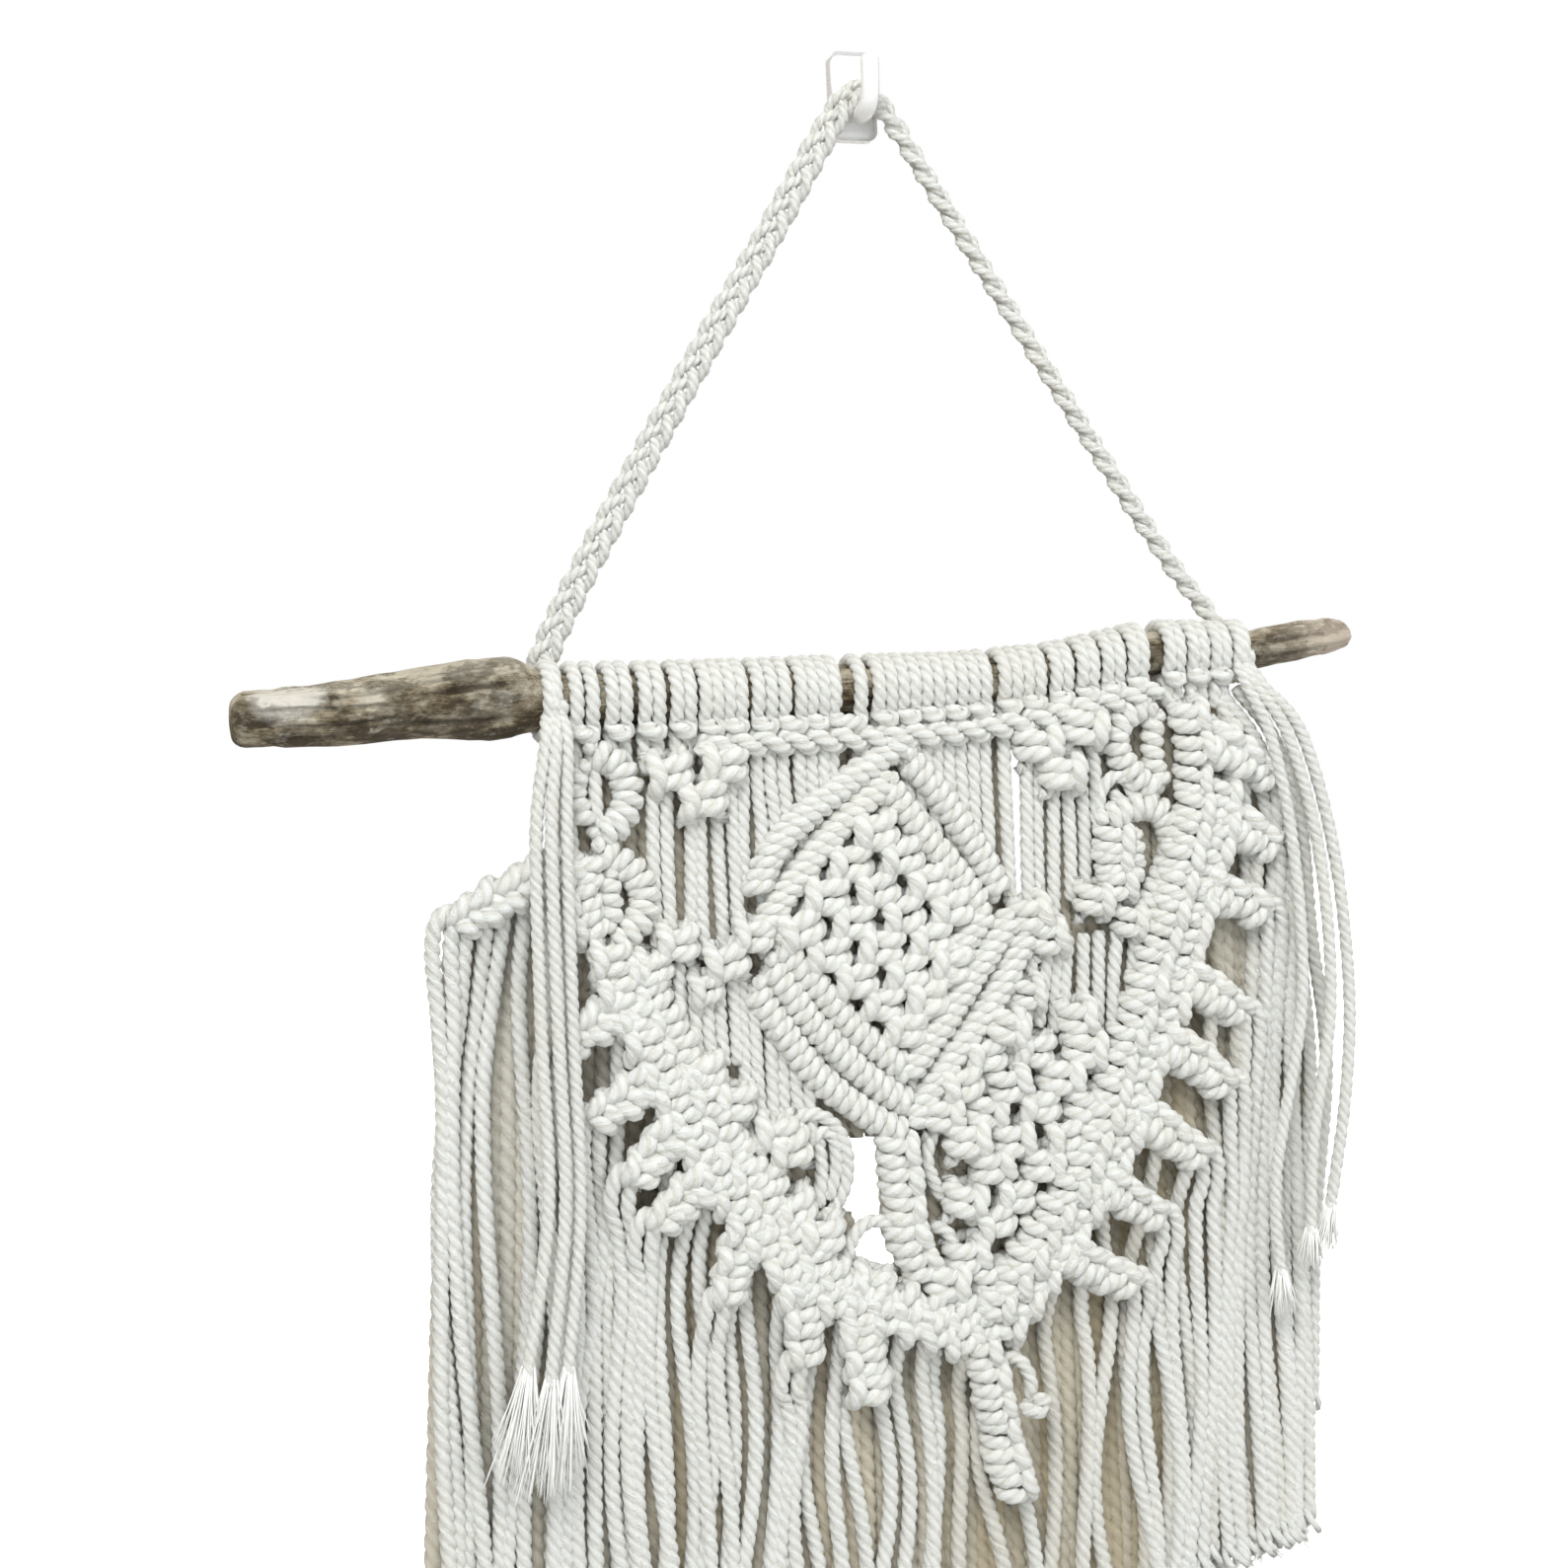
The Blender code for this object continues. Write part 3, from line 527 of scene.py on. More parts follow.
def run_along(line):
    """Distance of each of a line's points from its start."""
    return np.concatenate(([0], np.cumsum(np.linalg.norm(np.diff(line, axis=0), axis=1))))


def directions(line):
    """Direction of a line at each of its points, of length 1."""
    ahead = np.gradient(line, axis=0)
    return ahead / np.linalg.norm(ahead, axis=1)[:, None]


def sides_along(line):
    """Two directions square to a line at each of its points, which turn smoothly."""
    ahead = directions(line)
    start = np.cross(ahead[0], (0.0, 1.0, 0.0) if abs(ahead[0][1]) < 0.9 else (1.0, 0.0, 0.0))
    side = start / np.linalg.norm(start)
    sides = []
    for direction in ahead:
        side = side - direction * side.dot(direction)
        side = side / math.sqrt(side.dot(side))
        sides.append(side)
    sides = np.array(sides)
    return sides, np.cross(ahead, sides)


def height_at(x, line):
    """Height at x of a line of x, z that runs to the right."""
    across, heights = np.transpose(line)
    return float(np.interp(x, across, heights))


class CordWork:
    """The cords of one piece, gathered and then made one mesh."""

    def __init__(self, name):
        self.name = name
        self.points = []
        self.faces = []
        self.uvs = []
        self.ply = []
        self.tone = []
        self.count = 0
        self.length = 0.0

    def tube(self, line, radii, section, lay, tone):
        """Adds one closed tube along a line, with a section that turns once each lay."""
        sides, backs = sides_along(line)
        run = run_along(line)
        self.length += run[-1]
        corners = len(section)
        corner = np.arange(corners)
        radii = np.asarray(radii)
        base = corner * 2 * math.pi / corners
        angle = base[None, :] - 2 * math.pi * (run / lay)[:, None] + rng.uniform(0, 2 * math.pi)
        reach = np.array(section)[None, :] * radii[:, None]
        ring = (line[:, None, :]
                + (reach * np.cos(angle))[:, :, None] * sides[:, None, :]
                + (reach * np.sin(angle))[:, :, None] * backs[:, None, :])
        self.points.append(ring.reshape(-1, 3))
        rows = len(line)
        start = self.count
        rings = start + np.arange(rows - 1)[:, None] * corners
        near = rings + corner
        other = rings + (corner + 1) % corners
        quads = np.stack([near, other, other + corners, near + corners], 2).reshape(-1, 4)
        self.faces.extend(quads.tolist())
        self.faces.append(list(range(start + corners - 1, start - 1, -1)))
        self.faces.append(list(range(start + (rows - 1) * corners, start + rows * corners)))
        girth = 2 * math.pi * float(np.mean(radii))
        u = np.broadcast_to(corner / corners, (rows - 1, corners))
        v, v_far = (np.broadcast_to((part / girth)[:, None], u.shape) for part in (run[:-1], run[1:]))
        step = 1.0 / corners
        wide = np.stack([u, u + step, u + step, u], 2)
        tall = np.stack([v, v, v_far, v_far], 2)
        self.uvs.append(np.stack([wide, tall], 3).reshape(-1, 2))
        self.uvs.append(np.full((2 * corners, 2), 0.5))
        spread = max(section) - min(section)
        height = (np.array(section) - min(section)) / spread if spread > 0.1 else np.ones(corners)
        self.ply.append(np.tile(height, rows))
        tones = np.full((rows, corners), tone)
        if tone > 1.0:
            # A cord toned above 1 has shade painted toward its front only; seen from behind it is plain
            # cotton.
            behind = (ring - line[:, None, :])[:, :, 1] / radii[:, None]
            tones = 1.0 + (tone - 1.0) * np.clip(0.7 - 1.3 * behind, 0.0, 1.0)
        self.tone.append(tones.ravel())
        self.count += rows * corners

    def cord(self, points, thick=CORD, step=RING_STEP, section=PLY_SECTION, tone=None):
        """Adds a three-ply cord along a smooth curve through points of x, y, z and plumpness."""
        line = smooth_line(points, step)
        radii = thick / 2 * (line[:, 3] if line.shape[1] == 4 else np.ones(len(line)))
        line = line[:, :3]
        radii[[0, -1]] *= END_TAPER
        self.tube(line, radii, section, LAY * thick / CORD, rng.uniform() if tone is None else tone)

    def fibre(self, points, thick, step=3.0):
        """Adds one fine loose fibre that thins to its tip."""
        line = smooth_line(points, step)
        radii = np.linspace(thick / 2, thick / 5, len(line))
        self.tube(line, radii, (1.0, 1.0, 1.0), 6 * LAY, LOOSE_TONE)

    def piece(self, finish, node):
        """Makes the mesh and lets it stand for a CAD node."""
        mesh = bpy.data.meshes.new(self.name)
        mesh.from_pydata(in_metres(np.vstack(self.points)).tolist(), [], self.faces)
        layer = mesh.uv_layers.new(name="along_cord")
        layer.data.foreach_set("uv", np.vstack(self.uvs).astype(np.float32).ravel())
        for label, values in (("ply_height", self.ply), ("cord_tone", self.tone)):
            attribute = mesh.attributes.new(label, "FLOAT", "POINT")
            attribute.data.foreach_set("value", np.concatenate(values).astype(np.float32))
        mesh.shade_smooth()
        mesh.materials.append(finish)
        body = bpy.data.objects.new(self.name, mesh)
        bpy.context.scene.collection.objects.link(body)
        settle(body, node)
        print(self.name, "cord", round(self.length / 1000, 2), "m,", len(self.faces) * 2, "triangles")
        return body


def settle(body, node):
    """Hangs a finished piece on the root body, in the place of its CAD node."""
    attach(body, "root")
    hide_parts(node)


# ---------------------------------------------------------------- finishes

class Reading:
    """A value that varies over a surface; sums with it add Math nodes."""

    def __init__(self, finish, socket):
        self.finish = finish
        self.socket = socket

    def sum(self, operation, first, second=0.0):
        return self.finish.node("ShaderNodeMath", {"operation": operation}, {0: first, 1: second})

    def __add__(self, other):
        return self.sum("ADD", self, other)

    def __sub__(self, other):
        return self.sum("SUBTRACT", self, other)

    def __rsub__(self, other):
        return self.sum("SUBTRACT", other, self)

    def __mul__(self, other):
        return self.sum("MULTIPLY", self, other)

    def __pow__(self, other):
        return self.sum("POWER", self, other)

    __radd__ = __add__
    __rmul__ = __mul__

    def clamped(self):
        """The value kept between 0 and 1."""
        return self.finish.node("ShaderNodeClamp", {}, {"Value": self})


class Finish:
    """A material built from nodes round one Principled shader."""

    def __init__(self, name, **constants):
        self.material = bpy.data.materials.new(name)
        self.material.use_nodes = True
        self.tree = self.material.node_tree
        self.shader = self.tree.nodes["Principled BSDF"]
        for label, value in constants.items():
            self.shader.inputs[label.replace("_", " ")].default_value = value

    def node(self, kind, settings, inputs, output=0):
        """Adds a node with its settings, then its socket values or links."""
        made = self.tree.nodes.new(kind)
        stops = settings.pop("stops", None)
        for label, value in settings.items():
            setattr(made, label, value)
        if stops:
            ramp = made.color_ramp
            while len(ramp.elements) < len(stops):
                ramp.elements.new(1.0)
            for element, (position, colour) in zip(ramp.elements, stops):
                element.position = position
                element.color = (*colour, 1.0)
        for label, value in inputs.items():
            if isinstance(value, Reading):
                self.tree.links.new(value.socket, made.inputs[label])
            else:
                made.inputs[label].default_value = value
        return Reading(self, made.outputs[output])

    def attribute(self, name):
        """A number stored on the mesh."""
        return self.node("ShaderNodeAttribute", {"attribute_name": name}, {}, "Fac")

    def grain(self, scale, detail, roughness=0.5, location=(0, 0, 0), source="Object"):
        """Cloudy variation from 0 to 1, finer along each axis where the scale is larger."""
        if source == "Object":
            where = self.node("ShaderNodeTexCoord", {}, {}, "Object")
        else:
            where = self.node("ShaderNodeUVMap", {"uv_map": source}, {})
        where = self.node("ShaderNodeMapping", {}, {"Vector": where, "Scale": scale,
                                                    "Location": location})
        return self.node("ShaderNodeTexNoise", {}, {"Vector": where, "Scale": 1.0, "Detail": detail,
                                                    "Roughness": roughness})

    def blend(self, share, first, second, way="MIX"):
        """One colour turning into another."""
        first, second = (colour if isinstance(colour, Reading) else (*colour, 1.0)
                         for colour in (first, second))
        return self.node("ShaderNodeMix", {"data_type": "RGBA", "blend_type": way},
                         {0: share, 6: first, 7: second}, 2)

    def bump(self, height, strength, distance):
        """A surface raised by a height."""
        return self.node("ShaderNodeBump", {}, {"Height": height, "Strength": strength,
                                                "Distance": distance})

    def spot(self, centre, radius):
        """1 at a place on the piece, falling to 0 at the radius; millimetres."""
        where = self.node("ShaderNodeTexCoord", {}, {}, "Object")
        middle = tuple(in_metres(centre))
        far = self.node("ShaderNodeVectorMath", {"operation": "DISTANCE"}, {0: where, 1: middle},
                        "Value")
        return (1.0 - far * (1.0 / (radius * MM))).clamped()

    def spots(self, places):
        """Several spots added up, each as its middle, radius and strength."""
        return sum(self.spot(centre, radius) * strength for centre, radius, strength in places)

    def feed(self, **links):
        """Links the readings that vary to the shader."""
        for label, value in links.items():
            self.tree.links.new(value.socket, self.shader.inputs[label.replace("_", " ")])
        return self.material


def cotton_finish():
    """Natural cotton cord: fibres along each ply, painted shade between the plies, uneven whiteness,
    painted shade on the fronts of shaded cords.
    """
    finish = Finish("natural_cotton_cord", Roughness=0.88, Specular_IOR_Level=0.2, Sheen_Weight=0.25,
                    Sheen_Roughness=0.6)
    fibres = finish.grain((19.0, 2.0, 1.0), 4.0, 0.6, source="along_cord")
    coarse = finish.grain((9.0, 0.9, 1.0), 2.0, source="along_cord")
    patches = finish.grain((40.0, 40.0, 40.0), 3.0, 0.55)
    fuzz = finish.grain((950.0, 950.0, 950.0), 4.0, 0.75)
    ply = finish.attribute("ply_height")
    tone = finish.attribute("cord_tone")
    # Painted shade in the grooves between the plies, mixed with the fibres' own streaks.
    height = (ply ** 0.75) * 0.56 + fibres * 0.42 + coarse * 0.12 + fuzz * 0.40 - 0.08
    colour = finish.blend(height.clamped(), COTTON_SHADE, COTTON_LIGHT)
    # Creamier in random patches and per cord; on cords toned above 1 this is also part of their painted
    # shade.
    creamy = ((patches - 0.42) * 1.6 + (tone - 0.5) * 0.5).clamped()
    colour = finish.blend(creamy * 0.5, colour, COTTON_WARM)
    # Painted shade on the fronts of cords toned 1 to 2.
    colour = finish.blend((tone - 1.0).clamped(), colour, COTTON_PAINTED_SHADE, "MULTIPLY")
    loose = (tone * LOOSE_TONE).clamped()
    colour = finish.blend(loose, colour, COTTON_FIBRE)
    raised = (fibres * 0.9 + coarse * 0.4 + fuzz * 1.0) * (1.0 - loose)
    return finish.feed(Base_Color=colour, Normal=finish.bump(raised, 1.0, 0.0008))


def driftwood_finish():
    """Weathered wood: grey-beige and lighter towards the top, darker and browner below, brown streaks,
    painted shade in the cracks, a pale bare end.
    """
    finish = Finish("driftwood_weathered", Specular_IOR_Level=0.25)
    streaks = finish.grain((34.0, 420.0, 420.0), 8.0, 0.66)
    broad = finish.grain((16.0, 130.0, 130.0), 4.0, 0.6)
    fine = finish.grain((190.0, 2100.0, 2100.0), 4.0, 0.65)
    blotches = finish.grain((95.0, 150.0, 150.0), 6.0, 0.65)
    up = finish.attribute("upwards")
    crack = finish.attribute("crack")
    # Lighter towards the top, with the streaks and blotches of the grain.
    grain_and_upward_lightness = (up * 0.2 + streaks * 0.24 + broad * 0.5 + (blotches - 0.5) * 2.2
               + (fine - 0.5) * 0.8 + 0.13).clamped()
    wood = finish.node("ShaderNodeValToRGB", {"stops": WOOD_STOPS}, {"Fac": grain_and_upward_lightness})
    bark = finish.grain((70.0, 120.0, 120.0), 9.0, 0.75, (3.0, 1.0, 2.0))
    bark = ((bark - 0.52) * 10.0).clamped()
    wood = finish.blend(bark * 0.52, wood, BARK)
    lichen = finish.grain((110.0, 170.0, 170.0), 8.0, 0.75, (7.0, 4.0, 5.0))
    lichen = ((lichen - 0.54) * 10.0).clamped()
    wood = finish.blend(lichen * 0.6, wood, LICHEN)
    bare = finish.spots(BARE_SPOTS).clamped() * 2.6 - 0.5 + (blotches - 0.5) * 1.6
    bare = (bare.clamped() * (0.65 + streaks * 0.5)).clamped()
    wood = finish.blend(bare * 0.9, wood, BARE_WOOD)
    wood = finish.blend(finish.spots(SMOOTH_SPOTS).clamped() * 0.8, wood, SMOOTH_WOOD)
    dark_patches = finish.spots(DARK_PATCH_SPOTS) * (blotches * 1.7 - 0.3) * 0.9
    wood = finish.blend(dark_patches.clamped(), wood, DARK_PATCH)
    # Painted shade in the cracks, darker the deeper they are.
    wood = finish.blend((crack * 0.5).clamped(), wood, CRACK_DARK)
    rough = 0.72 + fine * 0.2
    raised = streaks * 0.35 + fine * 0.3 + blotches * 0.6 - bark * 0.35 - crack * 0.4
    return finish.feed(Base_Color=wood, Roughness=rough, Normal=finish.bump(raised, 1.0, 0.0013))


def plastic_finish():
    """Glossy white moulded plastic, with faint unevenness and handling marks."""
    finish = Finish("white_moulded_plastic", Specular_IOR_Level=0.5, Coat_Roughness=0.15)
    cloudy = finish.grain((260.0, 260.0, 260.0), 2.0)
    marks = finish.grain((900.0, 300.0, 900.0), 4.0, 0.7)
    colour = finish.blend(cloudy, (0.86, 0.86, 0.85), (0.90, 0.90, 0.895))
    return finish.feed(Base_Color=colour, Roughness=0.2 + marks * 0.16,
                       Normal=finish.bump(cloudy, 0.08, 0.0004))


def floor_finish():
    """Plain pale floor."""
    finish = Finish("pale_floor", Roughness=0.9, Emission_Color=(1.0, 1.0, 1.0, 1.0),
                    Emission_Strength=1.1)
    cloudy = finish.grain((2.0, 2.0, 2.0), 2.0)
    colour = finish.blend(cloudy, (0.88, 0.88, 0.87), (0.90, 0.90, 0.89))
    return finish.feed(Base_Color=colour)


# ---------------------------------------------------------------- the branch and the hook

def branch_rings():
    """Height and radius of the branch at each ring of its CAD node, from left to right."""
    rings = {}
    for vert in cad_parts["driftwood_branch"].data.vertices:
        x, y, z = np.array(vert.co) / MM + HOOK_BACK
        rings.setdefault(round(x, 1), []).append((y, z))
    rows = []
    for x in sorted(rings):
        ring = np.array(rings[x])
        middle = ring.mean(axis=0)
        radius = np.linalg.norm(ring - middle, axis=1).mean()
        rows.append((x, middle[1], radius))
    return np.array(rows)


def branch_at(x):
    """Height of the branch's middle and its radius at x."""
    return (float(np.interp(x, BRANCH[:, 0], BRANCH[:, 1])),
            float(np.interp(x, BRANCH[:, 0], BRANCH[:, 2])))


def round_branch(x, angle, room=0.0):
    """Middle of a cord on its way round the branch; the angle is 0 in front and grows upwards."""
    height, radius = branch_at(x)
    reach = radius + WRAP_REACH + room
    return x, BRANCH_Y - reach * math.cos(angle), height + reach * math.sin(angle)


def start_piece():
    """Leaves nothing selected before an operator adds a shape."""
    if bpy.context.mode != 'OBJECT':
        bpy.ops.object.mode_set(mode='OBJECT')
    bpy.ops.object.select_all(action='DESELECT')


def edit_piece(action):
    """The shape that was just added, in edit mode, with all or nothing of it selected."""
    body = bpy.context.active_object
    bpy.ops.object.transform_apply(location=True, rotation=True, scale=True)
    bpy.ops.object.mode_set(mode='EDIT')
    bpy.ops.mesh.select_all(action=action)
    return body


def face_outward():
    """Turns every face of the piece in edit mode to the outside."""
    bpy.ops.mesh.select_all(action='SELECT')
    bpy.ops.mesh.normals_make_consistent(inside=False)


def end_piece(body, name):
    """Back to object mode, with the place of the piece in its mesh."""
    if bpy.context.mode != 'OBJECT':
        bpy.ops.object.mode_set(mode='OBJECT')
    bpy.ops.object.select_all(action='DESELECT')
    body.select_set(True)
    bpy.context.view_layer.objects.active = body
    bpy.ops.object.transform_apply(location=True, rotation=True, scale=True)
    body.name = name
    body.data.name = name


def apply_modifiers(body):
    """Applies every modifier of the active piece."""
    bpy.context.view_layer.objects.active = body
    for modifier in list(body.modifiers):
        bpy.ops.object.modifier_apply(modifier=modifier.name)


def make_branch(finish):
    """The driftwood stick: a ring extruded along the branch, rounded and cracked lengthwise."""
    start_piece()
    first = BRANCH[0]
    bpy.ops.mesh.primitive_circle_add(
        vertices=32, radius=first[2] * MM, fill_type='NGON',
        location=in_metres((first[0], BRANCH_Y, first[1])), rotation=(0, math.radians(90), 0))
    body = edit_piece('SELECT')
    for before, row in zip(BRANCH, BRANCH[1:]):
        step = (row[0] - before[0]) * MM
        rise = (row[1] - before[1]) * MM
        bpy.ops.mesh.extrude_region_move(TRANSFORM_OT_translate={"value": (step, 0.0, rise)})
        growth = row[2] / before[2]
        middle = in_metres((row[0], BRANCH_Y, row[1]))
        bpy.ops.transform.resize(value=(1.0, growth, growth), center_override=tuple(middle))
    face_outward()
    end_piece(body, "driftwood_stick")
    rounded = body.modifiers.new("rounded", 'SUBSURF')
    rounded.levels = 2
    rounded.render_levels = 2
    apply_modifiers(body)
    weather_branch(body.data)
    body.data.shade_smooth()
    body.data.materials.append(finish)
    settle(body, "driftwood_branch")
    return body


def weather_branch(mesh):
    """Moves the points of the stick into knobs, ripples and cracks, and marks on it how far each point
    faces upwards and how deep it lies in a crack.
    """
    co = np.zeros(len(mesh.vertices) * 3)
    mesh.vertices.foreach_get("co", co)
    at = co.reshape(-1, 3) / MM + HOOK_BACK
    x = at[:, 0]
    middle = np.interp(x, BRANCH[:, 0], BRANCH[:, 1])
    away = np.stack([at[:, 1] - BRANCH_Y, at[:, 2] - middle], 1)
    radius = np.linalg.norm(away, axis=1) + 1e-6
    angle = np.arctan2(away[:, 1], -away[:, 0])
    push = 0.35 * np.sin(2 * angle + 0.06 * x) + 0.22 * np.sin(3 * angle - 0.11 * x)
    push += 0.22 * np.sin(5 * angle + 0.05 * x + 1.3) * np.sin(0.09 * x)
    push += 0.16 * np.sin(9 * angle + 0.03 * x) + 0.10 * np.sin(17 * angle - 0.05 * x + 0.7)
    push += 0.30 * np.sin(0.37 * x + 2 * angle) * np.sin(0.19 * x + 1.1)
    push += 0.20 * np.sin(0.83 * x - 3 * angle) * np.sin(0.31 * x + 0.4 + angle)
    push += KNOB[2] * np.exp(-((x - KNOB[0]) / 3.0) ** 2 - ((angle - KNOB[1]) / 0.5) ** 2)
    crack = np.zeros(len(x))
    for left, right, degrees, deep, wide in CRACKS:
        along = np.clip(np.minimum(x - left, right - x) / CRACK_END, 0, 1)
        line = math.radians(degrees) + 0.06 * np.sin(0.11 * x + degrees)
        apart = np.angle(np.exp(1j * (angle - line)))
        crack = np.maximum(crack, along * deep * np.exp(-(apart / math.radians(wide)) ** 2))
    reach = (radius + push * np.clip(radius / 5.0, 0, 1) - crack) / radius
    at[:, 1] = BRANCH_Y + away[:, 0] * reach
    at[:, 2] = middle + away[:, 1] * reach
    mesh.vertices.foreach_set("co", in_metres(at).ravel())
    mesh.update()
    for label, values in (("upwards", np.sin(angle)), ("crack", crack)):
        attribute = mesh.attributes.new(label, "FLOAT", "POINT")
        attribute.data.foreach_set("value", values.astype(np.float32))


def make_hook(finish):
    """The small hook: a bevelled plate, and a round arm extruded along its curl."""
    start_piece()
    plate_y = HOOK_BACK[1] - HOOK_PLATE[1] / 2
    bpy.ops.mesh.primitive_cube_add(size=MM, location=in_metres((HOOK_BACK[0], plate_y, HOOK_BACK[2])),
                                    scale=HOOK_PLATE)
    plate = edit_piece('DESELECT')
    bpy.ops.object.mode_set(mode='OBJECT')
    for edge in plate.data.edges:
        ends = [plate.data.vertices[index].co.y for index in edge.vertices]
        edge.select = abs(ends[0] - ends[1]) > HOOK_PLATE[1] * MM / 2
    bpy.ops.object.mode_set(mode='EDIT')
    bpy.ops.mesh.select_mode(type='EDGE')
    bpy.ops.mesh.bevel(offset=PLATE_CORNER * MM, segments=8, affect='EDGES')
    bpy.ops.mesh.select_all(action='DESELECT')
    bpy.ops.object.mode_set(mode='OBJECT')
    front = min(vert.co.y for vert in plate.data.vertices)
    for face in plate.data.polygons:
        face.select = all(plate.data.vertices[index].co.y < front + 1e-6 for index in face.vertices)
    bpy.ops.object.mode_set(mode='EDIT')
    bpy.ops.mesh.inset(thickness=PLATE_RIM * MM, depth=PLATE_RISE * MM)
    end_piece(plate, "hook_plate")
    start_piece()
    line = smooth_line([(HOOK_BACK[0], y, z) for y, z in HOOK_ROUTE], 1.2)
    ahead = directions(line)
    turn = np.arctan2(ahead[:, 2], -ahead[:, 1])
    bpy.ops.mesh.primitive_circle_add(vertices=24, radius=HOOK_ARM * MM, fill_type='NGON',
                                      location=in_metres(line[0]),
                                      rotation=(math.radians(90) - turn[0], 0, 0))
    arm = edit_piece('SELECT')
    for index in range(1, len(line)):
        step = (line[index] - line[index - 1]) * MM
        bpy.ops.mesh.extrude_region_move(TRANSFORM_OT_translate={"value": tuple(step)})
        bpy.ops.transform.rotate(value=turn[index] - turn[index - 1], orient_axis='X',
                                 center_override=tuple(in_metres(line[index])))
    for share, lift in HOOK_TIP:
        bpy.ops.mesh.extrude_region_move(TRANSFORM_OT_translate={"value": (0, 0, lift * MM)})
        bpy.ops.transform.resize(value=(share, share, share))
    face_outward()
    end_piece(arm, "hook_arm")
    plate.select_set(True)
    bpy.context.view_layer.objects.active = plate
    bpy.ops.object.join()
    plate.name = "white_wall_hook"
    bpy.ops.object.shade_smooth_by_angle(angle=math.radians(40))
    plate.data.materials.clear()
    plate.data.materials.append(finish)
    settle(plate, "wall_hook")
    return plate


# ---------------------------------------------------------------- knots and hitches

def square_knot(cords, x, z, width, height, turn, y, side, fillers=STRAIGHT_FILLERS):
    """One square knot: two working cords round two filling cords, its loop at one side."""
    wide = width / KNOT_WIDTH
    size = np.array((side * wide, wide ** 0.5, height / KNOT_HEIGHT, 1.0))
    thick = KNOT_CORD * wide ** 0.6 * rng.uniform(0.96, 1.07)
    angle = math.radians(turn + rng.uniform(-KNOT_LEAN, KNOT_LEAN))
    for routes, step in (((BAR_WORKER, LOOP_WORKER), RING_STEP), (fillers, 2 * RING_STEP)):
        for route in routes:
            path = np.array(route) * size
            path[1:-1, :3] += rng.uniform(-KNOT_STRAY, KNOT_STRAY, (len(path) - 2, 3))
            leant = path.copy()
            leant[:, 0] = x + path[:, 0] * math.cos(angle) - path[:, 2] * math.sin(angle)
            leant[:, 1] += y
            leant[:, 2] = z + path[:, 0] * math.sin(angle) + path[:, 2] * math.cos(angle)
            cords.cord(leant, thick, step, TIGHT_SECTION)


def knot_chain(cords, line, width, pitch, forward, follow, beside, side=1.0, taper=0.0):
    """Square knots one below the other along a line of x, z, in one column or two."""
    flat = smooth_line([(x, z) for x, z in line], 1.0)
    run = run_along(flat)
    knots = max(2, round(run[-1] / pitch))
    for number in range(knots):
        for column in ((-1, 1) if beside else (0,)):
            share = (number + 0.5 + 0.25 * column) / knots
            at = run[-1] * share
            x, dx = (float(np.interp(at + ahead, run, flat[:, 0])) for ahead in (0, 2))
            z, dz = (float(np.interp(at + ahead, run, flat[:, 1])) for ahead in (0, 2))
            long = math.hypot(dx - x, dz - z) + 1e-6
            way = ((dx - x) / long, (dz - z) / long) if long > 1 else (0.0, -1.0)
            square_knot(cords, x - column * beside * way[1] + rng.uniform(-0.6, 0.6),
                        z + column * beside * way[0] * 0.5,
                        width * (1.0 - taper * share) * rng.uniform(0.95, 1.06), pitch * 1.05,
                        follow * math.degrees(math.atan2(way[0], -way[1])),
                        -forward + rng.uniform(-0.5, 0.5) + 0.5 * column, side)


def hitched_bar(cords, line, coil, pitch, y, thick, lean=1.0, slant=0.0):
    """A row of half hitches: a cord wound closely round a holding cord along a line of x, z."""
    middle = smooth_line([(x, y, z) for x, z in line], 0.25)
    run = run_along(middle)
    across = np.cross(directions(middle), (0.0, 1.0, 0.0))
    around = lean * 2 * math.pi * run / pitch
    uneven = coil * (1.0 + 0.05 * np.sin(run * 1.7 + line[0][0]) + 0.04 * np.sin(run * 0.53))
    slid = np.clip(run + slant * coil * np.sin(around), 0.0, run[-1])
    centre = np.stack([np.interp(slid, run, middle[:, axis]) for axis in range(3)], 1)
    wound = (centre + (uneven * np.sin(around))[:, None] * across
             - (uneven * np.cos(around))[:, None] * np.array((0.0, 1.0, 0.0)))
    cords.cord(wound[::3], thick, section=TIGHT_SECTION)
    cords.cord(middle[::16], thick)


def twisted_pair(cords, line, y, reach, pitch, thick):
    """Two cords twisted round each other along a line of x, z."""
    middle = smooth_line([(x, y, z) for x, z in line], 1.0)
    around = 2 * math.pi * run_along(middle) / pitch
    for start in (0.0, math.pi):
        path = middle.copy()
        path[:, 1] += reach * np.cos(around + start)
        path[:, 2] += reach * np.sin(around + start)
        cords.cord(path[::2], thick)


def plain_cord(cords, top, foot, y):
    """A cord that hangs straight between two knots, with a little slack."""
    share = np.linspace(0, 1, 5)
    x = top[0] + (foot[0] - top[0]) * share + SWAY * np.sin(3.0 * share + rng.uniform(0, 6))
    z = top[1] + (foot[1] - top[1]) * share
    cords.cord(np.stack([x, np.full(5, y), z], 1))


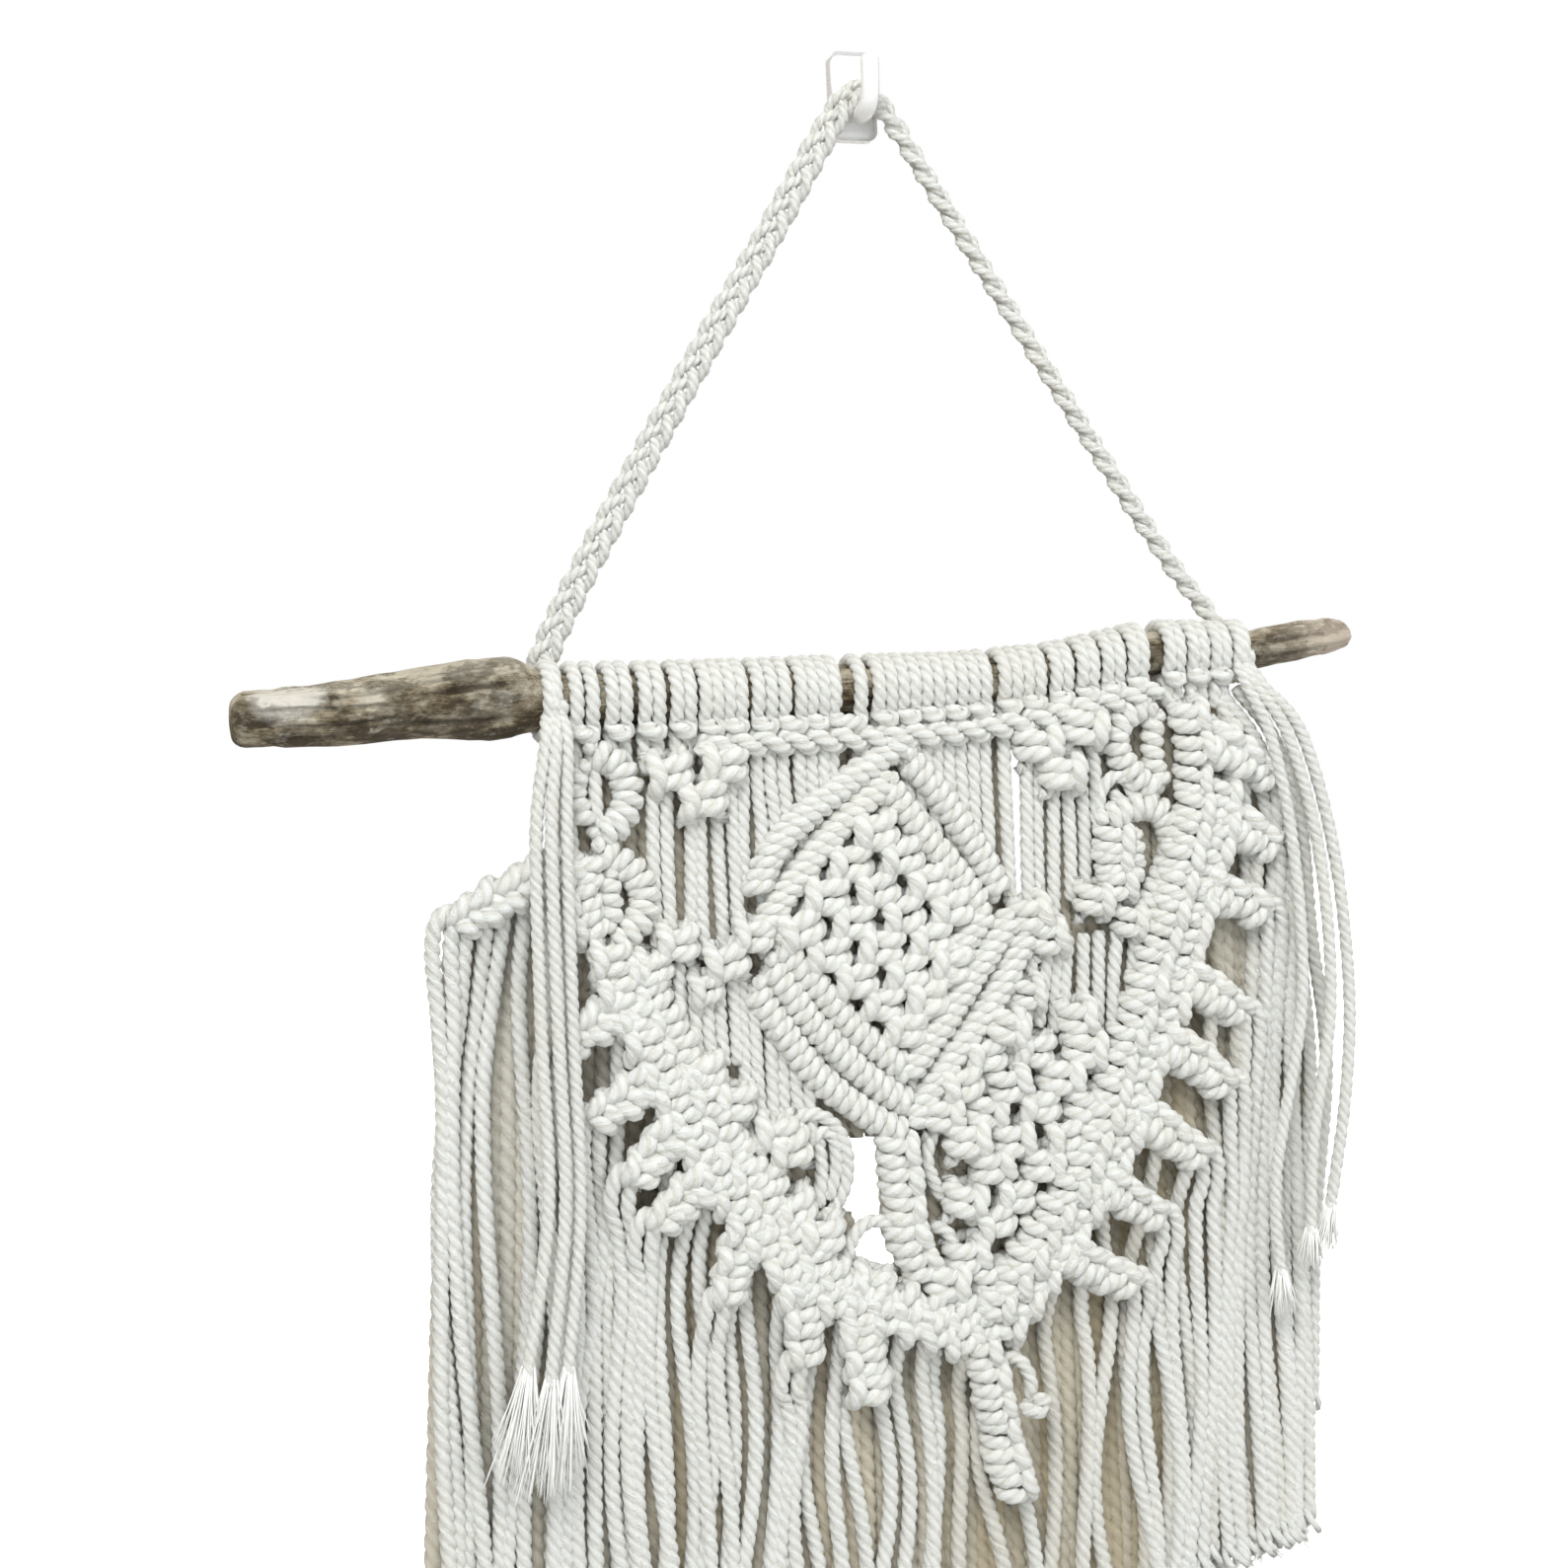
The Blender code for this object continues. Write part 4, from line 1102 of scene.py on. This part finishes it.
def painted_shade_cords(cords, left, right):
    """Upright cords behind the cloth with shade painted on their fronts, which make its gaps look dark;
    left out behind the holes that go right through it.
    """
    for x in np.arange(left, right, BACK_SPACING):
        seen_x = x - BACK_CORD_Y * math.tan(VIEW_TURN)
        spans = [(height_at(x, CLOTH_TOP), height_at(x, CLOTH_FOOT))]
        for hole_left, hole_right, hole_top, hole_foot in CLOTH_HOLES:
            if hole_left - HOLE_MARGIN < seen_x < hole_right + HOLE_MARGIN:
                top, foot = spans.pop()
                spans += [(top, hole_top), (hole_foot, foot)]
        for top, foot in spans:
            if top - foot > BACK_SHORTEST:
                lean = rng.uniform(-0.3, 0.3)
                cords.cord(((x, BACK_CORD_Y, top), (x + lean, BACK_CORD_Y, (top + foot) / 2),
                            (x - lean, BACK_CORD_Y, foot)), BACK_CORD, BACK_STEP, tone=BACK_TONE)


def net(cords, rows, side):
    """Rows of square knots, each row set between the knots of the row above."""
    for number, (z, left, right) in enumerate(rows):
        shift = NET_SPACING / 2 if number % 2 else 0.0
        first = math.ceil((left + NET_EDGE - shift) / NET_SPACING)
        last = math.floor((right - NET_EDGE - shift) / NET_SPACING)
        for column in range(first, last + 1):
            square_knot(cords, column * NET_SPACING + shift + rng.uniform(-1, 1),
                        z + rng.uniform(-0.9, 0.9), NET_KNOT * rng.uniform(0.92, 1.08),
                        NET_KNOT_HEIGHT, rng.uniform(-11, 11), rng.uniform(-1.2, 0.8),
                        side * rng.choice((1.0, 1.0, -1.0)), SPREAD_FILLERS)


def lark_head(cords, left, right):
    """One lark's head: a cord folded over the branch, its loop across the front below."""
    paths = []
    for x, inner in ((left, 1.0), (right, -1.0)):
        height, radius = branch_at(x)
        front = BRANCH_Y - (radius + WRAP_REACH) * 0.5
        foot = height - (radius + WRAP_REACH)
        end = min(foot - 7.0, height_at(x, TAIL_FEET))
        drop = foot - 2.6 - end
        leg = [(x + rng.uniform(-0.5, 0.5), 0.8, end)]
        leg += [(x + rng.uniform(-0.5, 0.5), 0.5 + rng.uniform(-0.3, 0.3), end + drop * share)
                for share in (0.33, 0.66) if drop > 12]
        leg.append((x, 0.9, foot - 2.6))
        leg += [round_branch(x, math.radians(degrees)) for degrees in WRAP_TURN]
        dip = round_branch(x, math.radians(WRAP_DIP))
        leg.append((x - 0.2 * inner, dip[1] - 0.6, dip[2]))
        leg.append((x - 0.1 * inner, front - 2.6, foot + 0.6 + 0.5 * inner))
        leg.append((x + 1.0 * inner, front - 3.2, foot - 0.4 + 0.5 * inner))
        paths.append(leg)
    whole = np.array(paths[0] + paths[1][::-1])
    plump = np.ones(len(whole))
    plump[len(paths[0]) - 2:len(paths[0]) + 2] = BIGHT_PLUMP
    cords.cord(np.column_stack([whole, plump]), CORD)


def bead_knot(cords):
    """A small round knot: one cord wound round itself."""
    turns = np.linspace(0, BEAD_TURNS, 22)
    around = 2 * math.pi * turns
    along = turns - BEAD_TURNS / 2
    cords.cord(np.stack([BEAD_KNOT[0] + BEAD_RADIUS * np.cos(around) + 0.9 * along,
                         BEAD_KNOT[1] - BEAD_RADIUS * np.sin(around),
                         BEAD_KNOT[2] + 1.6 * along + 1.2 * np.sin(around / 2)], 1))


def make_heading(finish):
    """The row of lark's heads round the branch, with the tight cord row below them."""
    cords = CordWork("larks_heads")
    wraps = []
    for left, right, count in WRAP_STRETCHES:
        wide = (right - left) / count
        wraps += [left + wide * (number + 0.5) for number in range(count)]
    for left, right in zip(wraps[::2], wraps[1::2]):
        lark_head(cords, left, right)
    twisted_pair(cords, UNDER_ROW, UNDER_ROW_Y, UNDER_ROW_REACH, UNDER_ROW_PITCH, UNDER_ROW_CORD)
    return cords.piece(finish, "larks_head_heading")


def make_diamond(finish):
    """The diamond: hitched bars in pairs above and threes below, round a net of square knots."""
    cords = CordWork("diamond")
    for lean, slant, line in DIAMOND_BARS.values():
        hitched_bar(cords, line, BAR_COIL, BAR_PITCH, BAR_Y, BAR_CORD, lean, slant)
    for pair in BAR_PAIRS:
        above, below = (sorted(DIAMOND_BARS[bar][2]) for bar in pair)
        left = max(above[0][0], below[0][0])
        right = min(above[-1][0], below[-1][0])
        for x in np.arange(left + 1.5, right, BAR_GAP_CORDS):
            plain_cord(cords, (x, height_at(x, above)), (x, height_at(x, below)),
                       rng.uniform(1.0, 1.8))
    for z, places in DIAMOND_NET:
        for x in places:
            square_knot(cords, x, z + DIAMOND_NET_SLOPE * x, *DIAMOND_NET_KNOT, rng.uniform(-6, 10),
                        rng.uniform(-0.3, 0.9), OUTWARD["left"], SPREAD_FILLERS)
    for chain in CHAINS["middle"]:
        knot_chain(cords, *chain)
    for loop in LOOPS:
        cords.cord(loop)
    bead_knot(cords)
    return cords.piece(finish, "knotted_panel")


def make_side(side, finish):
    """One side of the cloth: leaves, nets, the V band and its small branches."""
    turn = OUTWARD[side]
    cords = CordWork(side + "_knots")
    for coil, line in LEAF_ARCS[side]:
        hitched_bar(cords, line, coil, LEAF_PITCH, LEAF_Y, LEAF_CORD)
    net(cords, SIDE_NETS[side], turn)
    for x, z, width in LONE_KNOTS[side]:
        square_knot(cords, x, z, width, NET_KNOT_HEIGHT, rng.uniform(-12, 12), LONE_KNOT_Y, turn,
                    SPREAD_FILLERS)
    for place_side, count, first, last in PLAIN_CORDS:
        if place_side == side:
            for share in np.linspace(0, 1, count):
                ends = [start + (end - start) * share for start, end in zip(first, last)]
                plain_cord(cords, ends[:2], ends[2:], rng.uniform(-0.4, 1.4))
    # Cords behind the cloth with painted shade, that darken its gaps.
    painted_shade_cords(cords, *BACK_SPANS[side])
    cords.piece(finish, "knotted_panel")
    cords = CordWork(side + "_band")
    for chain in CHAINS[side]:
        knot_chain(cords, *chain, turn)
    for line in BRANCHES[side]:
        knot_chain(cords, line, BRANCH_WIDTH, BRANCH_PITCH, BRANCH_FORWARD, BRANCH_FOLLOW, 0.0, turn,
                   BRANCH_TAPER)
    return cords.piece(finish, "knotted_panel")


# ---------------------------------------------------------------- fringe, braid and tails

def cut_end(cords, path, thick):
    """The last stretch of a strand, its three plies sprung a little apart."""
    line = smooth_line(path, FRAY_STEP)
    sides, backs = sides_along(line)
    run = run_along(line)
    share = run / run[-1]
    start = rng.uniform(0, 2 * math.pi)
    for ply in range(3):
        angle = start + ply * 2 * math.pi / 3 - 2 * math.pi * run / (LAY * 1.6)
        apart = thick * (0.24 + 0.34 * share ** 1.5 * rng.uniform(0.7, 1.3))
        centre = line + (apart * np.cos(angle))[:, None] * sides + (apart * np.sin(angle))[:, None] * backs
        cords.tube(centre, thick * (0.27 - 0.05 * share), FRAYED_SECTION, FRAYED_LAY, rng.uniform())
        before, end = centre[-2:]
        for fibre in range(FRAYED_FIBRES):
            tip = end + (end - before) * rng.uniform(0.5, 2.0)
            away = rng.normal(0, 0.5, 3)
            cords.fibre([before + away * 0.2, end + away * 0.6, tip + away * 1.4], FRAYED_FIBRE, 1.5)


def roots_above(side, x):
    """Heights at x of every small branch, or of the cloth's lower edge, lowest first."""
    heights = []
    for line in BRANCHES[side] + (HEMS[side],):
        along = sorted(line)
        if along[0][0] - 1.5 <= x <= along[-1][0] + 1.5:
            heights.append(height_at(x, along))
    return sorted(heights)


def trim_height(x):
    """Height at which the fringe is cut at x."""
    out = min(1.0, abs(x - TRIM_MIDDLE_X) / TRIM_REACH)
    return TRIM_MIDDLE_Z + (TRIM_SIDE_Z - TRIM_MIDDLE_Z) * out


def free_fall(start, end, wave, phase, pace, depth):
    """Points of a strand that waves a little on its way down from one x, z to another."""
    points = []
    for part in np.linspace(0.12, 1.0, 9):
        bend = wave * math.sin(phase + pace * part) * min(1.0, 4 * part)
        points.append((start[0] + (end[0] - start[0]) * part + bend, depth(part),
                       start[1] + (end[1] - start[1]) * part))
    return points


def strand(cords, path, thick, tone, step):
    """One free strand with its sprung cut end."""
    whole = smooth_line(path, FRAY_STEP)
    keep = max(4, len(whole) - round(FRAY / FRAY_STEP))
    cords.cord(whole[:keep + 1], thick, step, tone=tone)
    cut_end(cords, whole[keep - 1:], thick)


def strand_row(cords, fringe, near):
    """The near strands of a fringe, or the far ones behind them; the far ones, and the near ones at the
    right, get shade painted on their fronts.
    """
    side, left, right, near_strands, far_strands, swing_left, swing_right = fringe
    outward = OUTWARD[side]
    strands = near_strands if near else far_strands
    loose = 1.0 if near else FAR_STRAY
    for number in range(strands):
        share = (number + 0.5) / strands
        x = left + (right - left) * share + loose * rng.uniform(-ROOT_STRAY, ROOT_STRAY)
        roots = roots_above(side, x)
        behind_cloth = CLOTH_FOOT[0][0] < x < CLOTH_FOOT[-1][0]
        if near and not roots:
            continue
        if near:
            z = roots[number % min(2, len(roots))]
        elif behind_cloth:
            z = height_at(x, CLOTH_FOOT)
        else:
            z = roots[-1]
        y = (FRINGE_NEAR_Y if near else FRINGE_FAR_Y) + rng.uniform(-DEEP_STRAY, DEEP_STRAY)
        end_x = x + swing_left * (1 - share) + swing_right * share
        end_x += loose * rng.uniform(-END_STRAY, END_STRAY)
        end_z = trim_height(end_x) + rng.uniform(-TRIM_STRAY, TRIM_STRAY)
        phase = WAVE_DRIFT * x + rng.uniform(-0.8, 0.8)
        wave = loose * rng.uniform(*FRINGE_WAVE)
        pace = rng.uniform(*FRINGE_PACE)
        if near:
            path = [(x - 4.2 * outward, -0.6, z - 1.0), (x - 2.2 * outward, -3.2, z + 1.6),
                    (x - 0.2 * outward, -3.0, z - 0.6), (x, -0.6, z - 6.0)]
        else:
            path = [(x, 5.0, z + 1.0), (x, 6.0, z - 3.0)]
        path += free_fall((x, z - 4.0), (end_x, end_z), wave, phase, pace,
                          lambda part: y + 0.6 * math.sin(phase * 2 + 7.0 * part))
        # Painted shade on the fronts of the far strands, and of the near ones at the right.
        tone = (FAR_TONE if behind_cloth else SIDE_TONE) + rng.uniform(-0.25, 0.15)
        tone += RIGHT_FAR_SHADE if side == "right" else 0.0
        if near:
            tone = 1.0 + rng.uniform(0.0, RIGHT_NEAR_SHADE) if side == "right" else None
        strand(cords, path, NEAR_STRAND if near else FAR_STRAND, tone,
               RING_STEP if near else FAR_STEP)


def tip_strands(cords, side):
    """The two strands that hang from the tip of each small branch."""
    outward = OUTWARD[side]
    for line in BRANCHES[side]:
        tip_x, tip_z = line[-1]
        for reach in (5.5, 0.5):
            drift = rng.uniform(-1.0, 4.0) - (6.0 if tip_x > 80 else 0.0)
            wave = rng.uniform(*TIP_WAVE)
            phase = WAVE_DRIFT * (tip_x + reach * outward) + rng.uniform(-0.7, 0.7)
            end_x = tip_x + (reach + drift) * outward
            path = [(tip_x - 3.0 * outward, -1.6, tip_z + 2.0),
                    (tip_x + (reach - 3.0) * outward, -2.6, tip_z + 3.6),
                    (tip_x + reach * outward, -2.6, tip_z + 0.6),
                    (tip_x + (reach + 1.2) * outward, -1.0, tip_z - 7.0)]
            path += free_fall((tip_x + (reach + 1.0) * outward, tip_z), (end_x, trim_height(end_x)),
                              wave, phase, TIP_PACE, lambda part: 1.5 * min(1.0, 3 * part))
            strand(cords, path, NEAR_STRAND, None, RING_STEP)


def long_strands(cords):
    """The strands that run from the heading to the trim at the right, and those behind them with painted
    shade.
    """
    for path in LONG_STRANDS:
        phase = rng.uniform(0, 2 * math.pi)
        waved = [(x + LONG_WAVE * math.sin(phase + z / LONG_WAVE_HEIGHT), y, z) for x, y, z in path]
        strand(cords, waved, CORD, None, RING_STEP)
    for path in SHADED_LONG_STRANDS:
        strand(cords, path, FAR_STRAND, FAR_TONE, FAR_STEP)


def make_fringe(name, finish):
    """The free strands: near ones from the small branches of knots, far ones from behind them."""
    side = FRINGES[name][0]
    cords = CordWork(name + "_strands")
    for near in (True, False):
        strand_row(cords, FRINGES[name], near)
    tip_strands(cords, side)
    if side == "right":
        long_strands(cords)
    return cords.piece(finish, name)


def make_braid(finish):
    """The plaited hanger over the hook, its turns round the branch and its frayed tails."""
    cords = CordWork("plaited_hanger")
    line = smooth_line(BRAID_LINE, 1.5)
    run = run_along(line)
    ahead = directions(line)
    flat = np.cross(ahead, (0.0, 1.0, 0.0))
    flat /= np.linalg.norm(flat, axis=1)[:, None]
    tilt = np.interp(line[:, 0], BRAID_TURN_X, BRAID_TILTS)[:, None]
    wide = np.cos(tilt) * flat + np.sin(tilt) * np.array((0.0, 1.0, 0.0))
    deep = np.cross(wide, ahead)
    for number in range(3):
        phase = 2 * math.pi * (run / BRAID_REPEAT + number / 3)
        path = (line + (BRAID_WIDE * np.sin(phase))[:, None] * wide
                + (BRAID_DEEP * np.sin(2 * phase))[:, None] * deep)
        cords.cord(path, BRAID_CORD)
    for middle in LOOP_MIDDLES:
        path = []
        for turn in np.linspace(0, LOOP_TURNS, 34):
            x = middle - LOOP_WIDE / 2 + LOOP_WIDE * turn / LOOP_TURNS
            path.append(round_branch(x, 2 * math.pi * turn + math.pi, LOOP_ROOM))
        cords.cord(path, CORD)
    for tail, long in zip(TAILS, TASSELS):
        line = smooth_line(tail, FRAY_STEP)
        cords.cord(line, TAIL_CORD)
        tassel(cords, line[-5:], long)
    return cords.piece(finish, "hanging_braid")


def tassel(cords, end, long):
    """The frayed end of a tail: fine fibres that spread as they fall."""
    down = end[-1] - end[0]
    down /= np.linalg.norm(down)
    for fibre in range(TASSEL_FIBRES):
        spread = rng.normal(0, 1, 2)
        spread /= max(1.0, np.linalg.norm(spread) / 1.6)
        length = long * rng.uniform(0.55, 1.0)
        wide = 0.2 + long / 40.0
        root = end[-3] + np.array((spread[0] * 0.9, spread[1] * 0.8, 0.0))
        middle = root + down * length * 0.5 + np.array((spread[0] * 1.6, spread[1], 0.0)) * wide
        tip = root + down * length + np.array((spread[0] * 3.6, spread[1] * 1.6, 0.0)) * wide
        tip += rng.normal(0, 0.5, 3)
        cords.fibre([root, middle, tip], rng.uniform(0.4, 0.8))


# ---------------------------------------------------------------- stage

def make_camera():
    """The camera at the angle from which the hanging is seen."""
    ahead = Vector((math.sin(VIEW_TURN), math.cos(VIEW_TURN), 0.0))
    level = ahead.cross(Vector((0, 0, 1)))
    up = level.cross(ahead)
    right = level * math.cos(VIEW_ROLL) + up * math.sin(VIEW_ROLL)
    top = up * math.cos(VIEW_ROLL) - level * math.sin(VIEW_ROLL)
    data = bpy.data.cameras.new("view_camera")
    data.lens = VIEW_LENS
    data.sensor_width = SENSOR
    camera = bpy.data.objects.new("view_camera", data)
    turn = Matrix((right, top, -ahead)).transposed()
    camera.matrix_world = Matrix.Translation(VIEW_TARGET - ahead * VIEW_DISTANCE) @ turn.to_4x4()
    bpy.context.scene.collection.objects.link(camera)
    bpy.context.scene.camera = camera


def soft_light(name, place, size, watts):
    """A square softbox that faces the hanging."""
    data = bpy.data.lights.new(name, 'AREA')
    data.shape = 'SQUARE'
    data.size = size
    data.energy = watts
    light = bpy.data.objects.new(name, data)
    way = Vector(LIGHT_TARGET) - Vector(place)
    light.matrix_world = Matrix.Translation(place) @ way.to_track_quat('-Z', 'Y').to_matrix().to_4x4()
    bpy.context.scene.collection.objects.link(light)


def make_surroundings():
    """White surroundings that light the hanging more gently than they look."""
    world = bpy.data.worlds.new("studio")
    world.use_nodes = True
    tree = world.node_tree
    white = tree.nodes["Background"]
    white.inputs["Color"].default_value = (1.0, 1.0, 1.0, 1.0)
    white.inputs["Strength"].default_value = 1.0
    way = tree.nodes.new("ShaderNodeTexCoord")
    split = tree.nodes.new("ShaderNodeSeparateXYZ")
    tree.links.new(way.outputs["Generated"], split.inputs[0])
    ranges = []
    for values in ((-1.0, 0.6, FRONT_GLOW, BACK_GLOW), (-0.6, 0.6, 0.0, 1.0)):
        backwards = tree.nodes.new("ShaderNodeMapRange")
        for label, value in zip(("From Min", "From Max", "To Min", "To Max"), values):
            backwards.inputs[label].default_value = value
        tree.links.new(split.outputs["Y"], backwards.inputs["Value"])
        ranges.append(backwards.outputs["Result"])
    tint = tree.nodes.new("ShaderNodeMix")
    tint.data_type = 'RGBA'
    tint.inputs[6].default_value = FRONT_COLOUR
    tint.inputs[7].default_value = BACK_COLOUR
    tree.links.new(ranges[1], tint.inputs[0])
    glow = tree.nodes.new("ShaderNodeBackground")
    tree.links.new(tint.outputs[2], glow.inputs["Color"])
    tree.links.new(ranges[0], glow.inputs["Strength"])
    path = tree.nodes.new("ShaderNodeLightPath")
    mixed = tree.nodes.new("ShaderNodeMixShader")
    for number, output in enumerate((path.outputs["Is Camera Ray"], glow.outputs[0], white.outputs[0])):
        tree.links.new(output, mixed.inputs[number])
    tree.links.new(mixed.outputs[0], tree.nodes["World Output"].inputs["Surface"])
    bpy.context.scene.world = world


def make_stage():
    """Pale floor below, pale surroundings and soft studio light."""
    start_piece()
    bpy.ops.mesh.primitive_plane_add(size=FLOOR_SIZE, location=(0, 0, FLOOR_Z))
    floor = bpy.context.active_object
    end_piece(floor, "pale_floor")
    floor.data.materials.append(floor_finish())
    floor.visible_diffuse = False
    make_surroundings()
    for name, (place, size, watts) in SOFTBOXES.items():
        soft_light(name, place, size, watts)
    bpy.context.scene.view_settings.view_transform = 'Standard'


BRANCH = branch_rings()

make_camera()
make_stage()
cotton = cotton_finish()
make_branch(driftwood_finish())
make_hook(plastic_finish())
make_heading(cotton)
make_diamond(cotton)
for side in ("left", "right"):
    make_side(side, cotton)
for name in FRINGES:
    make_fringe(name, cotton)
make_braid(cotton)
